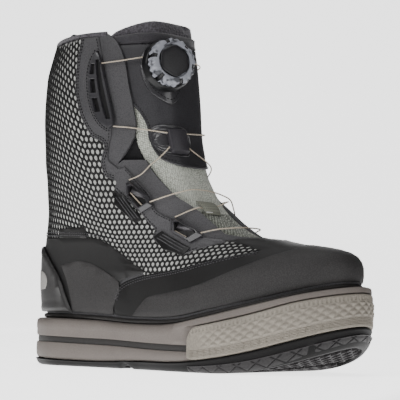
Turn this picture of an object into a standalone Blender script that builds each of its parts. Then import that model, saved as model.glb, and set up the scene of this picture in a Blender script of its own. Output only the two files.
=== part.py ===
"""Wading boot, right foot, empty and standing on its sole.

Metres, +X to the toe, +Y to the inner (medial) side, +Z up. The origin is under the heel,
on the floor. The upper is one closed wall worked out from a table of levels, and every
panel, guide and pad on it is cut from that same surface.
"""
import math

import bmesh
import bpy
import numpy as np

# Driving sizes
LENGTH = 0.318          # outsole, heel to toe
BALL_WIDTH = 0.120      # outsole, across the ball
SOLE_HEIGHT = 0.040     # floor to the top of the midsole, at the heel
SHAFT_HEIGHT = 0.227    # top of the midsole to the collar
TOE_SPRING = 0.024      # rise of the tread at the toe
HEEL_SEAT = 0.045       # back of the sole to the origin
WALL = 0.0024           # wall of the upper
FIT = 0.00035           # gap between pieces that are glued or sewn
PANEL = 0.0011          # sewn overlays
COUNTER = 0.0024        # moulded heel counter
WELT_WIDTH = 0.0014
WELT_RISE = 0.018        # height of the welt on the chart
WRAP = 0.0030           # textured rubber wrap of the forefoot
WRAP_PROUD = 0.0010     # how far the wrap stands out of the midsole
GROOVE = 0.0012         # dark groove round the midsole
INSOLE = 0.0040
TONGUE = 0.0050
TONGUE_PANEL = 0.0014
COLLAR_PAD = 0.0052
LUG_DEPTH = 0.0028
LUG_GROOVE = 0.0034
HEEL_BREAST = 0.0040    # notch between heel and forefoot tread
WIRE = 0.0013           # lace, diameter
GUIDE = 0.0028          # height of the long top lace guides
LOOP_GUIDE = 0.0042     # height of the framed lace guides
DIAL_RADIUS = 0.0195
DIAL_BASE = 0.0055      # height of the dial's housing
DIAL_KNOB = 0.0098      # height of the dial's knob
CAP_RADIUS = 0.0128
KEEPER_ARCH = 0.0030     # room for the wire under the keeper
KEEPER_STRAP = 0.0009
PULL_WIDTH = 0.014
PULL_RISE = 0.010

# Upper and tongue are cut along these lines of the chart, (turn, rise)
COLUMNS = 32
RISES = (0.0, 0.06, 0.12, 0.165, 0.205, 0.245, 0.285, 0.340, 0.410, 0.490,
         0.600, 0.740, 0.880, 1.0, 1.06)
PLAN_POINTS = 56

# Outline of the sole: share of length, share of ball width (lateral -, medial +)
SOLE_PLAN = [
    (0.000, 0.000), (0.030, -0.200), (0.110, -0.335), (0.270, -0.365), (0.450, -0.405),
    (0.640, -0.485), (0.800, -0.445), (0.920, -0.290), (0.983, -0.085), (1.000, 0.085),
    (0.975, 0.260), (0.905, 0.400), (0.800, 0.480), (0.690, 0.505), (0.560, 0.450),
    (0.420, 0.360), (0.270, 0.335), (0.110, 0.315), (0.030, 0.190)]

# Heights along the sole: share of length, share of sole height
SOLE_TOP = [(0.0, 0.98), (0.15, 0.97), (0.30, 0.94), (0.45, 0.885), (0.58, 0.905),
            (0.69, 1.055), (0.82, 1.29), (0.92, 1.50), (1.0, 1.66)]
OUTSOLE_TOP = [(0.0, 0.155), (0.36, 0.135), (0.43, 0.160), (0.65, 0.215), (0.82, 0.44),
               (0.92, 0.68), (1.0, 0.90)]
WRAP_TOP = [(0.60, 0.78), (0.69, 0.895), (0.82, 1.115), (0.92, 1.36), (1.0, 1.52)]
SPRING_START = 0.70
SPRING_POWER = 2.2
WRAP_START = 0.645
BREAST = (0.393, 0.402, 0.420, 0.432)
SPRING_STATIONS = (0.70, 0.75, 0.79, 0.83, 0.87, 0.91, 0.95)

# Levels of the upper, feather line to collar. Columns: share of shaft height; back and front
# ends as shares of length; half widths at heel, waist and ball as shares of ball width;
# how much the level follows the sole's own curve; exponent of the front's roundness;
# how far the front leans to the lateral side, as a share of ball width
LEVELS = [
    (0.000, 0.012, 0.968, 0.335, 0.365, 0.455, 1.00, 0.82, 0.00),
    (0.064, 0.003, 0.976, 0.342, 0.360, 0.465, 1.00, 0.82, 0.00),
    (0.127, 0.000, 0.952, 0.338, 0.348, 0.432, 0.90, 0.82, 0.00),
    (0.172, 0.000, 0.903, 0.332, 0.340, 0.388, 0.75, 0.79, 0.00),
    (0.209, 0.001, 0.853, 0.328, 0.336, 0.354, 0.55, 0.74, 0.01),
    (0.245, 0.005, 0.789, 0.325, 0.334, 0.327, 0.35, 0.69, 0.02),
    (0.295, 0.012, 0.707, 0.325, 0.333, 0.304, 0.20, 0.60, 0.04),
    (0.372, 0.019, 0.621, 0.333, 0.339, 0.305, 0.05, 0.52, 0.06),
    (0.472, 0.022, 0.560, 0.351, 0.360, 0.319, 0.00, 0.50, 0.06),
    (0.600, 0.020, 0.520, 0.380, 0.387, 0.347, 0.00, 0.50, 0.06),
    (0.764, 0.020, 0.502, 0.401, 0.410, 0.370, 0.00, 0.50, 0.06),
    (0.890, 0.033, 0.490, 0.401, 0.412, 0.370, 0.00, 0.50, 0.06),
    (1.000, 0.062, 0.476, 0.386, 0.405, 0.364, 0.00, 0.50, 0.06)]
STATIONS = (0.0, 0.22, 0.5, 0.76, 1.0)      # where the three half widths and the ends sit
HEEL_END, TOE_END = 0.90, 0.92              # widths at the two ends, of heel and ball
BACK_ROUND = 0.82                           # exponent of the heel's roundness
TOE_SWING = 0.075                           # toe's swing to the medial side

# Outlines of the panels on the chart: (turn, rise). Turn runs from 0 at the heel by the
# lateral side to 1 at the front, and rise from 0 at the feather line to 1 at the collar.
THROAT = [(1.0, 0.262), (0.90, 0.265), (0.80, 0.270), (0.745, 0.283), (0.752, 0.318),
          (0.745, 0.362), (0.722, 0.390), (0.688, 0.419), (0.651, 0.494), (0.637, 0.547),
          (0.577, 0.549), (0.561, 0.534), (0.625, 0.646), (0.625, 0.741), (0.617, 0.810),
          (0.606, 0.903), (0.585, 0.968), (0.560, 1.0)]
EYESTAY = [(0.490, 0.992), (0.484, 0.915), (0.482, 0.808), (0.500, 0.715), (0.522, 0.635),
           (0.543, 0.610), (0.531, 0.551), (0.531, 0.492), (0.548, 0.478), (0.542, 0.446),
           (0.568, 0.375), (0.577, 0.322), (0.580, 0.309), (0.564, 0.274), (0.574, 0.246),
           (0.594, 0.219), (0.639, 0.236), (0.685, 0.247), (0.712, 0.252), (0.714, 0.262),
           (0.676, 0.274), (0.640, 0.330), (0.610, 0.364), (0.609, 0.396), (0.614, 0.425),
           (0.579, 0.524), (0.562, 0.520), (0.546, 0.556), (0.565, 0.657), (0.561, 0.780),
           (0.551, 0.907), (0.538, 0.992)]
VAMP = [(0.413, 0.022), (0.413, 0.078), (0.425, 0.116), (0.454, 0.143), (0.514, 0.166),
        (0.619, 0.188), (0.682, 0.197), (0.748, 0.203), (0.745, 0.236), (0.722, 0.256),
        (0.760, 0.262), (0.80, 0.260), (0.90, 0.255), (1.0, 0.252)]
QUARTER = [(0.003, 0.022), (0.409, 0.022), (0.409, 0.080), (0.420, 0.120), (0.450, 0.149),
           (0.509, 0.172), (0.494, 0.196), (0.476, 0.236), (0.454, 0.269), (0.428, 0.282),
           (0.300, 0.288), (0.182, 0.290), (0.003, 0.292)]
COUNTER_EDGE = [(0.290, 0.022), (0.272, 0.075), (0.242, 0.154), (0.195, 0.212),
                (0.136, 0.248), (0.060, 0.262)]
BACKSTAY_EDGE = [(0.045, 0.298), (0.040, 0.600), (0.045, 0.970)]
TONGUE_EDGE = [(0.80, 0.205), (0.70, 0.30), (0.62, 0.42), (0.575, 0.56), (0.555, 0.75),
               (0.545, 0.90), (0.548, 0.985), (0.586, 1.020), (0.697, 1.045), (0.854, 1.050)]
TONGUE_PANEL_EDGE = [(0.58, 0.960), (0.575, 0.860), (0.600, 0.775), (0.624, 0.743),
                     (0.645, 0.714), (0.665, 0.670), (0.668, 0.620), (0.676, 0.582),
                     (0.700, 0.552), (0.760, 0.538), (0.880, 0.532)]
TOP_GUIDE = [(0.541, 0.940), (0.530, 0.905), (0.525, 0.850), (0.527, 0.780), (0.534, 0.722),
             (0.547, 0.682), (0.565, 0.659), (0.575, 0.675), (0.577, 0.701), (0.569, 0.780),
             (0.557, 0.869), (0.550, 0.915)]
MID_GUIDE = [(0.583, 0.474), (0.612, 0.418), (0.609, 0.385), (0.577, 0.364), (0.564, 0.425),
             (0.572, 0.467)]
LOW_GUIDE = [(0.648, 0.343), (0.678, 0.292), (0.674, 0.276), (0.632, 0.256), (0.612, 0.297),
             (0.634, 0.338)]
DIAL_FLANGE = [(0.656, 0.895), (0.668, 0.925), (0.703, 0.945), (0.800, 0.955), (0.900, 0.945),
               (0.960, 0.895), (0.960, 0.840), (0.920, 0.780), (0.824, 0.745), (0.750, 0.757),
               (0.690, 0.787), (0.660, 0.838)]
GUIDE_FLANGE = [(0.665, 0.640), (0.690, 0.665), (0.750, 0.672), (0.930, 0.665), (0.985, 0.640),
                (0.985, 0.590), (0.930, 0.566), (0.740, 0.566), (0.690, 0.580), (0.668, 0.605)]
GUIDE_BLOCK = [(0.760, 0.655), (0.905, 0.655), (0.905, 0.572), (0.760, 0.572)]
KEEPER = [(0.790, 0.368), (0.965, 0.368), (0.965, 0.410), (0.790, 0.410)]
DIAL_AT = (0.800, 0.880)                    # middle of the dial on the chart
DIAL_TURN = 0.165                           # the dial's radius along turn
WINDOW = 0.52                               # windows of the framed guides, of the guide's size

# The wire's route: turn, rise, height above the upper as a share of the wire
LACE_RUNS = {
    "lace_dial_to_top_lateral": [
        (0.5531, 0.893, 2.5), (0.590, 0.897, 2.0), (0.625, 0.902, 1.3), (0.673, 0.908, 0.9)],
    "lace_dial_to_top_medial": [
        (1.4461, 0.893, 2.5), (1.400, 0.897, 1.8), (1.330, 0.902, 1.0), (1.200, 0.905, 0.8),
        (1.080, 0.907, 1.0), (0.9383, 0.908, 1.6)],
    "lace_top_to_guide_lateral": [
        (0.5738, 0.668, 2.2), (0.612, 0.662, 1.5), (0.640, 0.656, 0.7), (0.690, 0.648, 0.3),
        (0.7588, 0.640, 1.2)],
    "lace_top_to_guide_medial": [
        (1.4262, 0.668, 2.2), (1.380, 0.662, 1.2), (1.300, 0.656, 0.4), (1.150, 0.650, 0.3),
        (1.020, 0.645, 0.5), (0.9102, 0.640, 1.2)],
    "lace_guide_to_mid_lateral": [
        (0.7548, 0.590, 1.2), (0.700, 0.560, 0.3), (0.650, 0.528, 1.0), (0.615, 0.495, 2.6),
        (0.5828, 0.477, 3.6)],
    "lace_guide_to_mid_medial": [
        (0.9112, 0.590, 1.2), (1.000, 0.575, 0.6), (1.150, 0.550, 0.5), (1.300, 0.520, 1.2),
        (1.385, 0.490, 2.6), (1.4166, 0.477, 3.6)],
    "lace_cross_under": [
        (0.6490, 0.345, 3.4), (0.700, 0.364, 1.6), (0.752, 0.376, 0.4), (0.790, 0.384, -1.9),
        (0.830, 0.388, -2.2), (0.900, 0.390, -2.2), (0.965, 0.392, -2.2), (1.020, 0.395, -1.9),
        (1.090, 0.399, -0.8), (1.200, 0.405, 0.9), (1.300, 0.408, 1.4), (1.3886, 0.404, 3.4)],
    "lace_cross_over": [
        (0.6095, 0.398, 3.6), (0.660, 0.416, 2.4), (0.720, 0.430, 1.4), (0.800, 0.440, 0.5),
        (1.000, 0.438, 0.4), (1.150, 0.428, 0.6), (1.250, 0.402, 3.2), (1.300, 0.365, 3.0),
        (1.3443, 0.332, 3.4)],
    "lace_bottom": [
        (0.6773, 0.285, 3.2), (0.730, 0.296, 1.6), (0.800, 0.300, 1.1), (1.000, 0.302, 1.0),
        (1.200, 0.300, 1.1), (1.270, 0.296, 1.6), (1.3232, 0.285, 3.2)],
}

# Heights of the layers over the upper's outer face
PANEL_LOW, PANEL_HIGH = FIT, FIT + PANEL
OVER_LOW = PANEL_HIGH + FIT
TONGUE_TOP = -(WALL + 2 * FIT + TONGUE_PANEL)
TONGUE_PANEL_TOP = TONGUE_TOP + FIT + TONGUE_PANEL
FLANGE_LOW = TONGUE_PANEL_TOP + FIT
FLANGE_HIGH = FLANGE_LOW + 0.0012
SEAT = FLANGE_HIGH + FIT


def ease(low, high, value):
    """Smooth step from 0 at low to 1 at high."""
    t = np.clip((np.asarray(value, float) - low) / (high - low), 0.0, 1.0)
    return t * t * (3.0 - 2.0 * t)


def hermite(t, span, values, slopes):
    """Cubic between two values with their slopes."""
    return ((2 * t**3 - 3 * t**2 + 1) * values[0] + (t**3 - 2 * t**2 + t) * span * slopes[0]
            + (-2 * t**3 + 3 * t**2) * values[1] + (t**3 - t**2) * span * slopes[1])


def along(table, place, column=1):
    """Read a column of a table smoothly, and past its end in a straight line."""
    rows = np.array(table, float)
    at, values = rows[:, 0], rows[:, column]
    slopes = np.gradient(values, at)
    place = np.asarray(place, float)
    past = np.where(place > at[-1], (place - at[-1]) * slopes[-1], 0.0)
    place = np.clip(place, at[0], at[-1])
    k = np.clip(np.searchsorted(at, place, side="right") - 1, 0, len(at) - 2)
    span = at[k + 1] - at[k]
    t = (place - at[k]) / span
    return hermite(t, span, (values[k], values[k + 1]), (slopes[k], slopes[k + 1])) + past


def sole_top(x):
    """Height of the midsole's top."""
    return SOLE_HEIGHT * along(SOLE_TOP, x / LENGTH)


def outsole_top(x):
    """Height of the outsole's top."""
    return SOLE_HEIGHT * along(OUTSOLE_TOP, x / LENGTH)


def tread(x):
    """Height of the lowest rubber: flat, then the toe spring."""
    share = np.clip((x / LENGTH - SPRING_START) / (1.0 - SPRING_START), 0.0, None)
    notch = np.interp(x / LENGTH, BREAST, (0.0, 1.0, 1.0, 0.0))
    return TOE_SPRING * share**SPRING_POWER + HEEL_BREAST * notch


def swing(x):
    """The toe's swing to the medial side."""
    return BALL_WIDTH * TOE_SWING * ease(0.62, 1.0, x / LENGTH)


def level_point(turn, rise):
    """Point on the upper's outer face, x from the back of the sole."""
    back, front, heel, waist, ball, follow, blunt, lean = (
        along(LEVELS, rise, column) for column in range(1, 9))
    turn = (turn + 1.0) % 2.0 - 1.0
    left = 1.0 - np.abs(turn)
    left = np.where(left < 0.5, 0.5 * (2.0 * left) ** (1.0 / blunt), left)
    angle = math.pi * (1.0 - left) * np.where(turn < 0.0, -1.0, 1.0)
    share = (1.0 - np.cos(angle)) / 2.0
    x = LENGTH * (back + (front - back) * share)
    stations = np.array(STATIONS)
    widths = np.stack([heel * HEEL_END, heel, waist, ball, ball * TOE_END], -1)
    slopes = np.gradient(widths, stations, axis=-1)
    k = np.clip(np.searchsorted(stations, share, side="right") - 1, 0, 3)
    span = stations[k + 1] - stations[k]

    def pick(rows, index):
        return np.take_along_axis(rows, index[..., None], -1)[..., 0]

    width = hermite((share - stations[k]) / span, span,
                    (pick(widths, k), pick(widths, k + 1)), (pick(slopes, k), pick(slopes, k + 1)))
    power = BACK_ROUND + (blunt - BACK_ROUND) * ease(0.3, 0.9, share)
    side = np.sin(angle)
    y = -BALL_WIDTH * width * np.sign(side) * np.abs(side) ** power
    y = y + swing(x) - BALL_WIDTH * lean * share
    z = sole_top(x) * follow + (1.0 - follow) * SOLE_HEIGHT + rise * SHAFT_HEIGHT + FIT
    return np.stack([x, y, z], -1)


def surface(turn, rise, off=0.0):
    """Point of the upper's surface, off metres outside its outer face, in the part's frame."""
    turn, rise = np.broadcast_arrays(np.asarray(turn, float), np.asarray(rise, float))
    step = 1e-4
    place = level_point(turn, rise)
    across = level_point(turn + step, rise) - level_point(turn - step, rise)
    up = level_point(turn, rise + step) - level_point(turn, rise - step)
    normal = np.cross(across, up)
    normal /= np.linalg.norm(normal, axis=-1, keepdims=True)
    off = np.broadcast_to(np.asarray(off, float), turn.shape)
    return place + normal * off[..., None] - np.array([HEEL_SEAT, 0.0, 0.0])


def on_facets(points, off):
    """Places on the upper's own facets, so that what lies on them keeps its gap."""
    points = np.asarray(points, float)
    column = points[:, 0] * COLUMNS / 2.0
    left = np.floor(column + 1e-9)
    rises = np.array(RISES)
    low = np.clip(np.searchsorted(rises, points[:, 1] + 1e-9, side="right") - 1, 0, len(rises) - 2)
    s = (column - left)[:, None]
    t = ((points[:, 1] - rises[low]) / (rises[low + 1] - rises[low]))[:, None]
    off = np.broadcast_to(np.asarray(off, float), (len(points),))
    near, side, top, far = (surface((left + i) * 2.0 / COLUMNS, rises[low + j], off)
                            for i, j in ((0, 0), (1, 0), (0, 1), (1, 1)))
    lower = near + s * (side - near) + t * (far - side)
    upper = near + t * (top - near) + s * (far - top)
    return np.where(t <= s, lower, upper)


def cut_flat(outline, lines_u, lines_w, windows=(), facets=False):
    """Fill an outline, cut it along grid lines, and open windows (centre, along, across).

    With facets, each cell of the grid is also cut along its diagonal, as the upper's facets are.
    """
    flat = bmesh.new()
    area = sum(a[0] * b[1] - b[0] * a[1] for a, b in zip(outline, outline[1:] + outline[:1]))
    if area < 0.0:
        outline = outline[::-1]
    flat.faces.new([flat.verts.new((u, w, 0.0)) for u, w in outline])

    def bisect(place, normal):
        bmesh.ops.bisect_plane(flat, geom=flat.verts[:] + flat.edges[:] + flat.faces[:],
                               dist=1e-6, plane_co=place, plane_no=normal)

    for u in lines_u:
        bisect((u, 0.0, 0.0), (1.0, 0.0, 0.0))
    for w in lines_w:
        bisect((0.0, w, 0.0), (0.0, 1.0, 0.0))
    for centre, first, second in windows:
        centre, first, second = (np.array(v) for v in (centre, first, second))
        for way, other in ((first, second), (second, first)):
            normal = (-other[1], other[0], 0.0)
            for sign in (-1.0, 1.0):
                place = centre + sign * way
                bisect((place[0], place[1], 0.0), normal)
        frame = np.linalg.inv(np.column_stack([first, second]))
        inside = [face for face in flat.faces
                  if np.abs(frame @ (np.array(face.calc_center_median()[:2]) - centre)).max() < 1.0]
        bmesh.ops.delete(flat, geom=inside, context="FACES")
    if facets:
        cut_diagonals(flat)
    return flat


def cut_diagonals(flat):
    """Cut each cell of the upper's chart from its near low corner to its far high one."""
    step = 2.0 / COLUMNS
    for face in list(flat.faces):
        centre = face.calc_center_median()
        low = int(np.searchsorted(RISES, centre.y, side="right")) - 1
        tall = RISES[low + 1] - RISES[low]
        corner = (math.floor(centre.x / step) * step, RISES[low], 0.0)
        bmesh.ops.bisect_plane(flat, geom=[face] + list(face.edges) + list(face.verts), dist=1e-6,
                               plane_co=corner, plane_no=(-tall, step, 0.0))


def material(name, colour, rough, metal=0.0):
    """Principled material of one plain colour, given as sRGB hex."""
    made = bpy.data.materials.new(name)
    made.use_nodes = True
    shader = made.node_tree.nodes["Principled BSDF"]
    parts = [int(colour[k:k + 2], 16) / 255.0 for k in (0, 2, 4)]
    linear = [c / 12.92 if c <= 0.04045 else ((c + 0.055) / 1.055) ** 2.4 for c in parts]
    shader.inputs["Base Color"].default_value = (*linear, 1.0)
    shader.inputs["Roughness"].default_value = rough
    shader.inputs["Metallic"].default_value = metal
    return made


def finish(name, mesh, finish_of):
    """Close a bmesh into an object with its own material."""
    bmesh.ops.remove_doubles(mesh, verts=mesh.verts, dist=1e-6)
    bmesh.ops.recalc_face_normals(mesh, faces=mesh.faces)
    data = bpy.data.meshes.new(name)
    mesh.to_mesh(data)
    mesh.free()
    made = bpy.data.objects.new(name, data)
    bpy.context.scene.collection.objects.link(made)
    data.materials.append(material(name, *finish_of))
    return made


def solid(name, flat, layers, finish_of, seam=None):
    """Closed solid between the first and last layer of a flat pattern.

    Each layer maps the pattern's points into space. The layers between only shape the rim.
    Edges whose points both satisfy seam are joined to each other and get no rim.
    """
    flat.verts.ensure_lookup_table()
    points = np.array([v.co[:2] for v in flat.verts])
    places = [layer(points) for layer in layers]
    mesh = bmesh.new()
    rings = [[mesh.verts.new(p) for p in place] for place in places]
    for face in flat.faces:
        corners = [v.index for v in face.verts]
        mesh.faces.new([rings[-1][k] for k in corners])
        mesh.faces.new([rings[0][k] for k in reversed(corners)])
    for edge in flat.edges:
        if len(edge.link_faces) != 1:
            continue
        loop = edge.link_loops[0]
        a, b = loop.vert.index, loop.link_loop_next.vert.index
        if seam is not None and seam(points[a]) and seam(points[b]):
            continue
        for low, high in zip(rings[:-1], rings[1:]):
            mesh.faces.new([low[a], low[b], high[b], high[a]])
    flat.free()
    return finish_and_drop_loose(name, mesh, finish_of)


def finish_and_drop_loose(name, mesh, finish_of):
    """Drop points that no face uses, then finish the object."""
    loose = [v for v in mesh.verts if not v.link_faces]
    bmesh.ops.delete(mesh, geom=loose, context="VERTS")
    return finish(name, mesh, finish_of)


def mirrored(outline):
    """Close a half outline over the front, turn 1, or over the heel, turn 0."""
    centre = 1.0 if max(u for u, _ in outline) > 0.5 else 0.0
    other = [(2.0 * centre - u, w) for u, w in reversed(outline)]
    return list(outline) + [p for p in other if p not in outline]


def other_side(outline):
    """The same outline on the medial side."""
    return [(-u, w) for u, w in outline]


def chart_lines(outline):
    """Grid lines of the upper that cross an outline."""
    low, high = min(u for u, _ in outline), max(u for u, _ in outline)
    step = 2.0 / COLUMNS
    first, last = math.ceil(low / step - 1e-6), math.floor(high / step + 1e-6)
    return [k * step for k in range(first, last + 1)], RISES


def sheet(name, outline, low, high, finish_of, windows=(), seam=None):
    """Piece of even thickness on the upper's surface."""
    flat = cut_flat(outline, *chart_lines(outline), windows=windows, facets=True)
    return solid(name, flat, [lambda p: on_facets(p, low), lambda p: on_facets(p, high)],
                 finish_of, seam)


def plan_curve():
    """The sole's outline: smooth closed curve through the plan's points."""
    points = np.array(SOLE_PLAN) * (LENGTH, BALL_WIDTH)
    count = len(points)
    dense = []
    for k in range(count):
        p = [points[(k + j) % count] for j in (-1, 0, 1, 2)]
        reach = [math.sqrt(np.linalg.norm(p[j + 1] - p[j])) for j in range(3)]
        first = (p[2] - p[1]) + reach[1] * (
            (p[1] - p[0]) / reach[0] - (p[2] - p[0]) / (reach[0] + reach[1]))
        last = (p[2] - p[1]) + reach[1] * (
            (p[3] - p[2]) / reach[2] - (p[3] - p[1]) / (reach[1] + reach[2]))
        dense += [hermite(t / 16.0, 1.0, (p[1], p[2]), (first, last)) for t in range(16)]
    dense = np.array(dense + [dense[0]])
    run = np.concatenate([[0.0], np.cumsum(np.linalg.norm(np.diff(dense, axis=0), axis=1))])
    even = np.linspace(0.0, run[-1], PLAN_POINTS, endpoint=False)
    return np.stack([np.interp(even, run, dense[:, k]) for k in range(2)], 1)


def outwards(curve):
    """Normals of the outline, away from the sole."""
    following = np.roll(curve, -1, 0) - np.roll(curve, 1, 0)
    normal = np.stack([following[:, 1], -following[:, 0]], 1)
    return normal / np.linalg.norm(normal, axis=1)[:, None]


def plan_at(arc, out=0.0):
    """Point of the sole's outline, arc 0 at the heel to 1, out metres outside it."""
    curve = plan_curve()
    place = np.asarray(arc) * PLAN_POINTS
    low = np.floor(place + 1e-9).astype(int)
    t = (place - low)[..., None]
    low = low % PLAN_POINTS
    high = (low + 1) % PLAN_POINTS
    corners = curve + outwards(curve) * out
    return corners[low] * (1 - t) + corners[high] * t


def sole_slab(name, rings, finish_of, stations):
    """Slab of the sole's outline: rings of (how far outside the outline, height at x)."""
    curve = plan_curve()
    flat = cut_flat([tuple(p) for p in curve], [s * LENGTH for s in stations], ())
    bmesh.ops.triangulate(flat, faces=flat.faces[:])
    flat.verts.ensure_lookup_table()
    normal = outwards(curve)

    def layer(out, height):
        def place(points):
            step = np.broadcast_to(out(curve[:, 0] / LENGTH), (PLAN_POINTS,))
            moved = curve + normal * step[:, None]
            result = []
            for point in points:
                ends = np.roll(curve, -1, 0) - curve
                t = np.clip(((point - curve) * ends).sum(1) / (ends**2).sum(1), 0.0, 1.0)
                gap = np.linalg.norm(curve + ends * t[:, None] - point, axis=1)
                k = int(gap.argmin())
                result.append(moved[k] * (1 - t[k]) + moved[(k + 1) % PLAN_POINTS] * t[k])
            result = np.array(result)
            return np.column_stack([result[:, 0] - HEEL_SEAT, result[:, 1], height(result[:, 0])])
        return place

    return solid(name, flat, [layer(*ring) for ring in rings], finish_of)


def boolean_cut(target, cutters):
    """Cut target with each cutter, then drop the cutters."""
    for cutter in cutters:
        cut = target.modifiers.new("cut", "BOOLEAN")
        cut.operation = "DIFFERENCE"
        cut.solver = "EXACT"
        cut.object = cutter
        cutter.hide_render = True
        cutter.display_type = "WIRE"


def forefoot(share):
    """How far the midsole steps in to seat the wrap, 0 to 1 along the sole."""
    return ease(WRAP_START - 0.02, WRAP_START, share)


def build_sole():
    """Outsole with lugs, midsole with its groove, forefoot wrap and insole."""
    stations = sorted({0.14, 0.28, 0.53, WRAP_START, *SPRING_STATIONS, *BREAST})

    def flush(out):
        return lambda share: out + 0.0 * share

    outsole = sole_slab("outsole", [
        (flush(-0.0045), tread),
        (flush(-0.0008), lambda x: tread(x) + 0.28 * (outsole_top(x) - tread(x))),
        (flush(0.0), lambda x: tread(x) + 0.55 * (outsole_top(x) - tread(x))),
        (flush(-0.0006), lambda x: outsole_top(x) - FIT),
    ], ("2a2929", 0.6), stations)

    def between(share):
        return lambda x: outsole_top(x) + share * (sole_top(x) - outsole_top(x))

    def side(out):
        return lambda share: out - (WRAP - WRAP_PROUD + FIT + out) * forefoot(share)

    sole_slab("midsole", [
        (side(-0.0006), between(0.0)), (side(0.0), between(0.40)),
        (side(-GROOVE), between(0.43)), (side(-GROOVE), between(0.55)),
        (side(-0.0002), between(0.58)), (side(-0.0008), between(0.90)), (side(-0.0026), between(1.0)),
    ], ("8b837f", 0.6), stations)
    build_wrap()
    cut_lugs(outsole)

    edge = surface(np.arange(COLUMNS) * 2.0 / COLUMNS, 0.0, -(WALL + 2 * FIT))
    outline = [(p[0] + HEEL_SEAT, p[1]) for p in edge]
    flat = cut_flat(outline, [s * LENGTH for s in stations], ())

    def layer(lift):
        return lambda p: np.column_stack([p[:, 0] - HEEL_SEAT, p[:, 1], sole_top(p[:, 0]) + lift])

    solid("insole", flat, [layer(FIT), layer(FIT + INSOLE)], ("2d2d30", 0.9))


def build_wrap():
    """Textured rubber round the forefoot, let into the midsole's side."""
    curve = plan_curve()
    ahead = curve[:, 0] > WRAP_START * LENGTH
    first, last = np.flatnonzero(ahead)[0], np.flatnonzero(ahead)[-1]
    arcs = np.arange(first, last + 1) / PLAN_POINTS
    outline = [(arcs[0] + 0.006, 0.0)] + [(a, 0.0) for a in arcs[1:-1]]
    outline += [(arcs[-1] - 0.006, 0.0), (arcs[-1], 0.35), (arcs[-1] - 0.001, 0.75),
                (arcs[-1] - 0.008, 1.0)]
    outline += [(a, 1.0) for a in reversed(arcs[2:-2])]
    outline += [(arcs[0] + 0.008, 1.0), (arcs[0] + 0.001, 0.75), (arcs[0], 0.35)]
    flat = cut_flat(outline, arcs, (0.5,))

    def layer(out, shrink):
        def place(points):
            flat_place = plan_at(points[:, 0], out)
            low = outsole_top(flat_place[:, 0]) + FIT
            high = SOLE_HEIGHT * along(WRAP_TOP, flat_place[:, 0] / LENGTH)
            share = 0.5 + (points[:, 1] - 0.5) * shrink
            z = low + (high - low) * share
            return np.column_stack([flat_place[:, 0] - HEEL_SEAT, flat_place[:, 1], z])
        return place

    solid("forefoot_wrap", flat, [layer(WRAP_PROUD - WRAP, 1.0), layer(WRAP_PROUD - 0.0008, 1.0),
                                  layer(WRAP_PROUD, 0.93)], ("8f8a80", 0.8))


def cut_lugs(outsole):
    """Open the grooves between the main lugs of the tread."""
    across = [(0.110, 0.26), (0.230, 0.27), (0.500, 0.34), (0.590, 0.40), (0.675, 0.42),
              (0.765, 0.42), (0.855, 0.36)]
    lengthwise = [(0.050, 0.345, -0.13), (0.050, 0.345, 0.13), (0.470, 0.900, -0.16),
                  (0.470, 0.900, 0.19)]
    half = LUG_GROOVE / 2.0
    cutters = []
    for k, (share, wide) in enumerate(across):
        x, y = share * LENGTH, wide * BALL_WIDTH
        middle = float(swing(x))
        cutters.append(groove(f"groove_across_{k}", [
            (x - half, middle - y + 0.002), (x + half, middle - y + 0.002),
            (x + half + 0.003, middle), (x + half, middle + y - 0.002),
            (x - half, middle + y - 0.002), (x - half + 0.003, middle)]))
    for k, (start, end, side) in enumerate(lengthwise):
        y = side * BALL_WIDTH
        outline = [(start * LENGTH, y - half), (end * LENGTH, y - half + float(swing(end * LENGTH))),
                   (end * LENGTH, y + half + float(swing(end * LENGTH))), (start * LENGTH, y + half)]
        cutters.append(groove(f"groove_along_{k}", outline))
    boolean_cut(outsole, cutters)


def groove(name, outline):
    """Cutter for one groove, which follows the tread's height."""
    flat = cut_flat(outline, [s * LENGTH for s in SPRING_STATIONS], ())
    bmesh.ops.triangulate(flat, faces=flat.faces[:])

    def layer(lift):
        return lambda p: np.column_stack([p[:, 0] - HEEL_SEAT, p[:, 1], tread(p[:, 0]) + lift])

    return solid(name, flat, [layer(-0.003), layer(LUG_DEPTH)], ("2a2929", 0.6))


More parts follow.
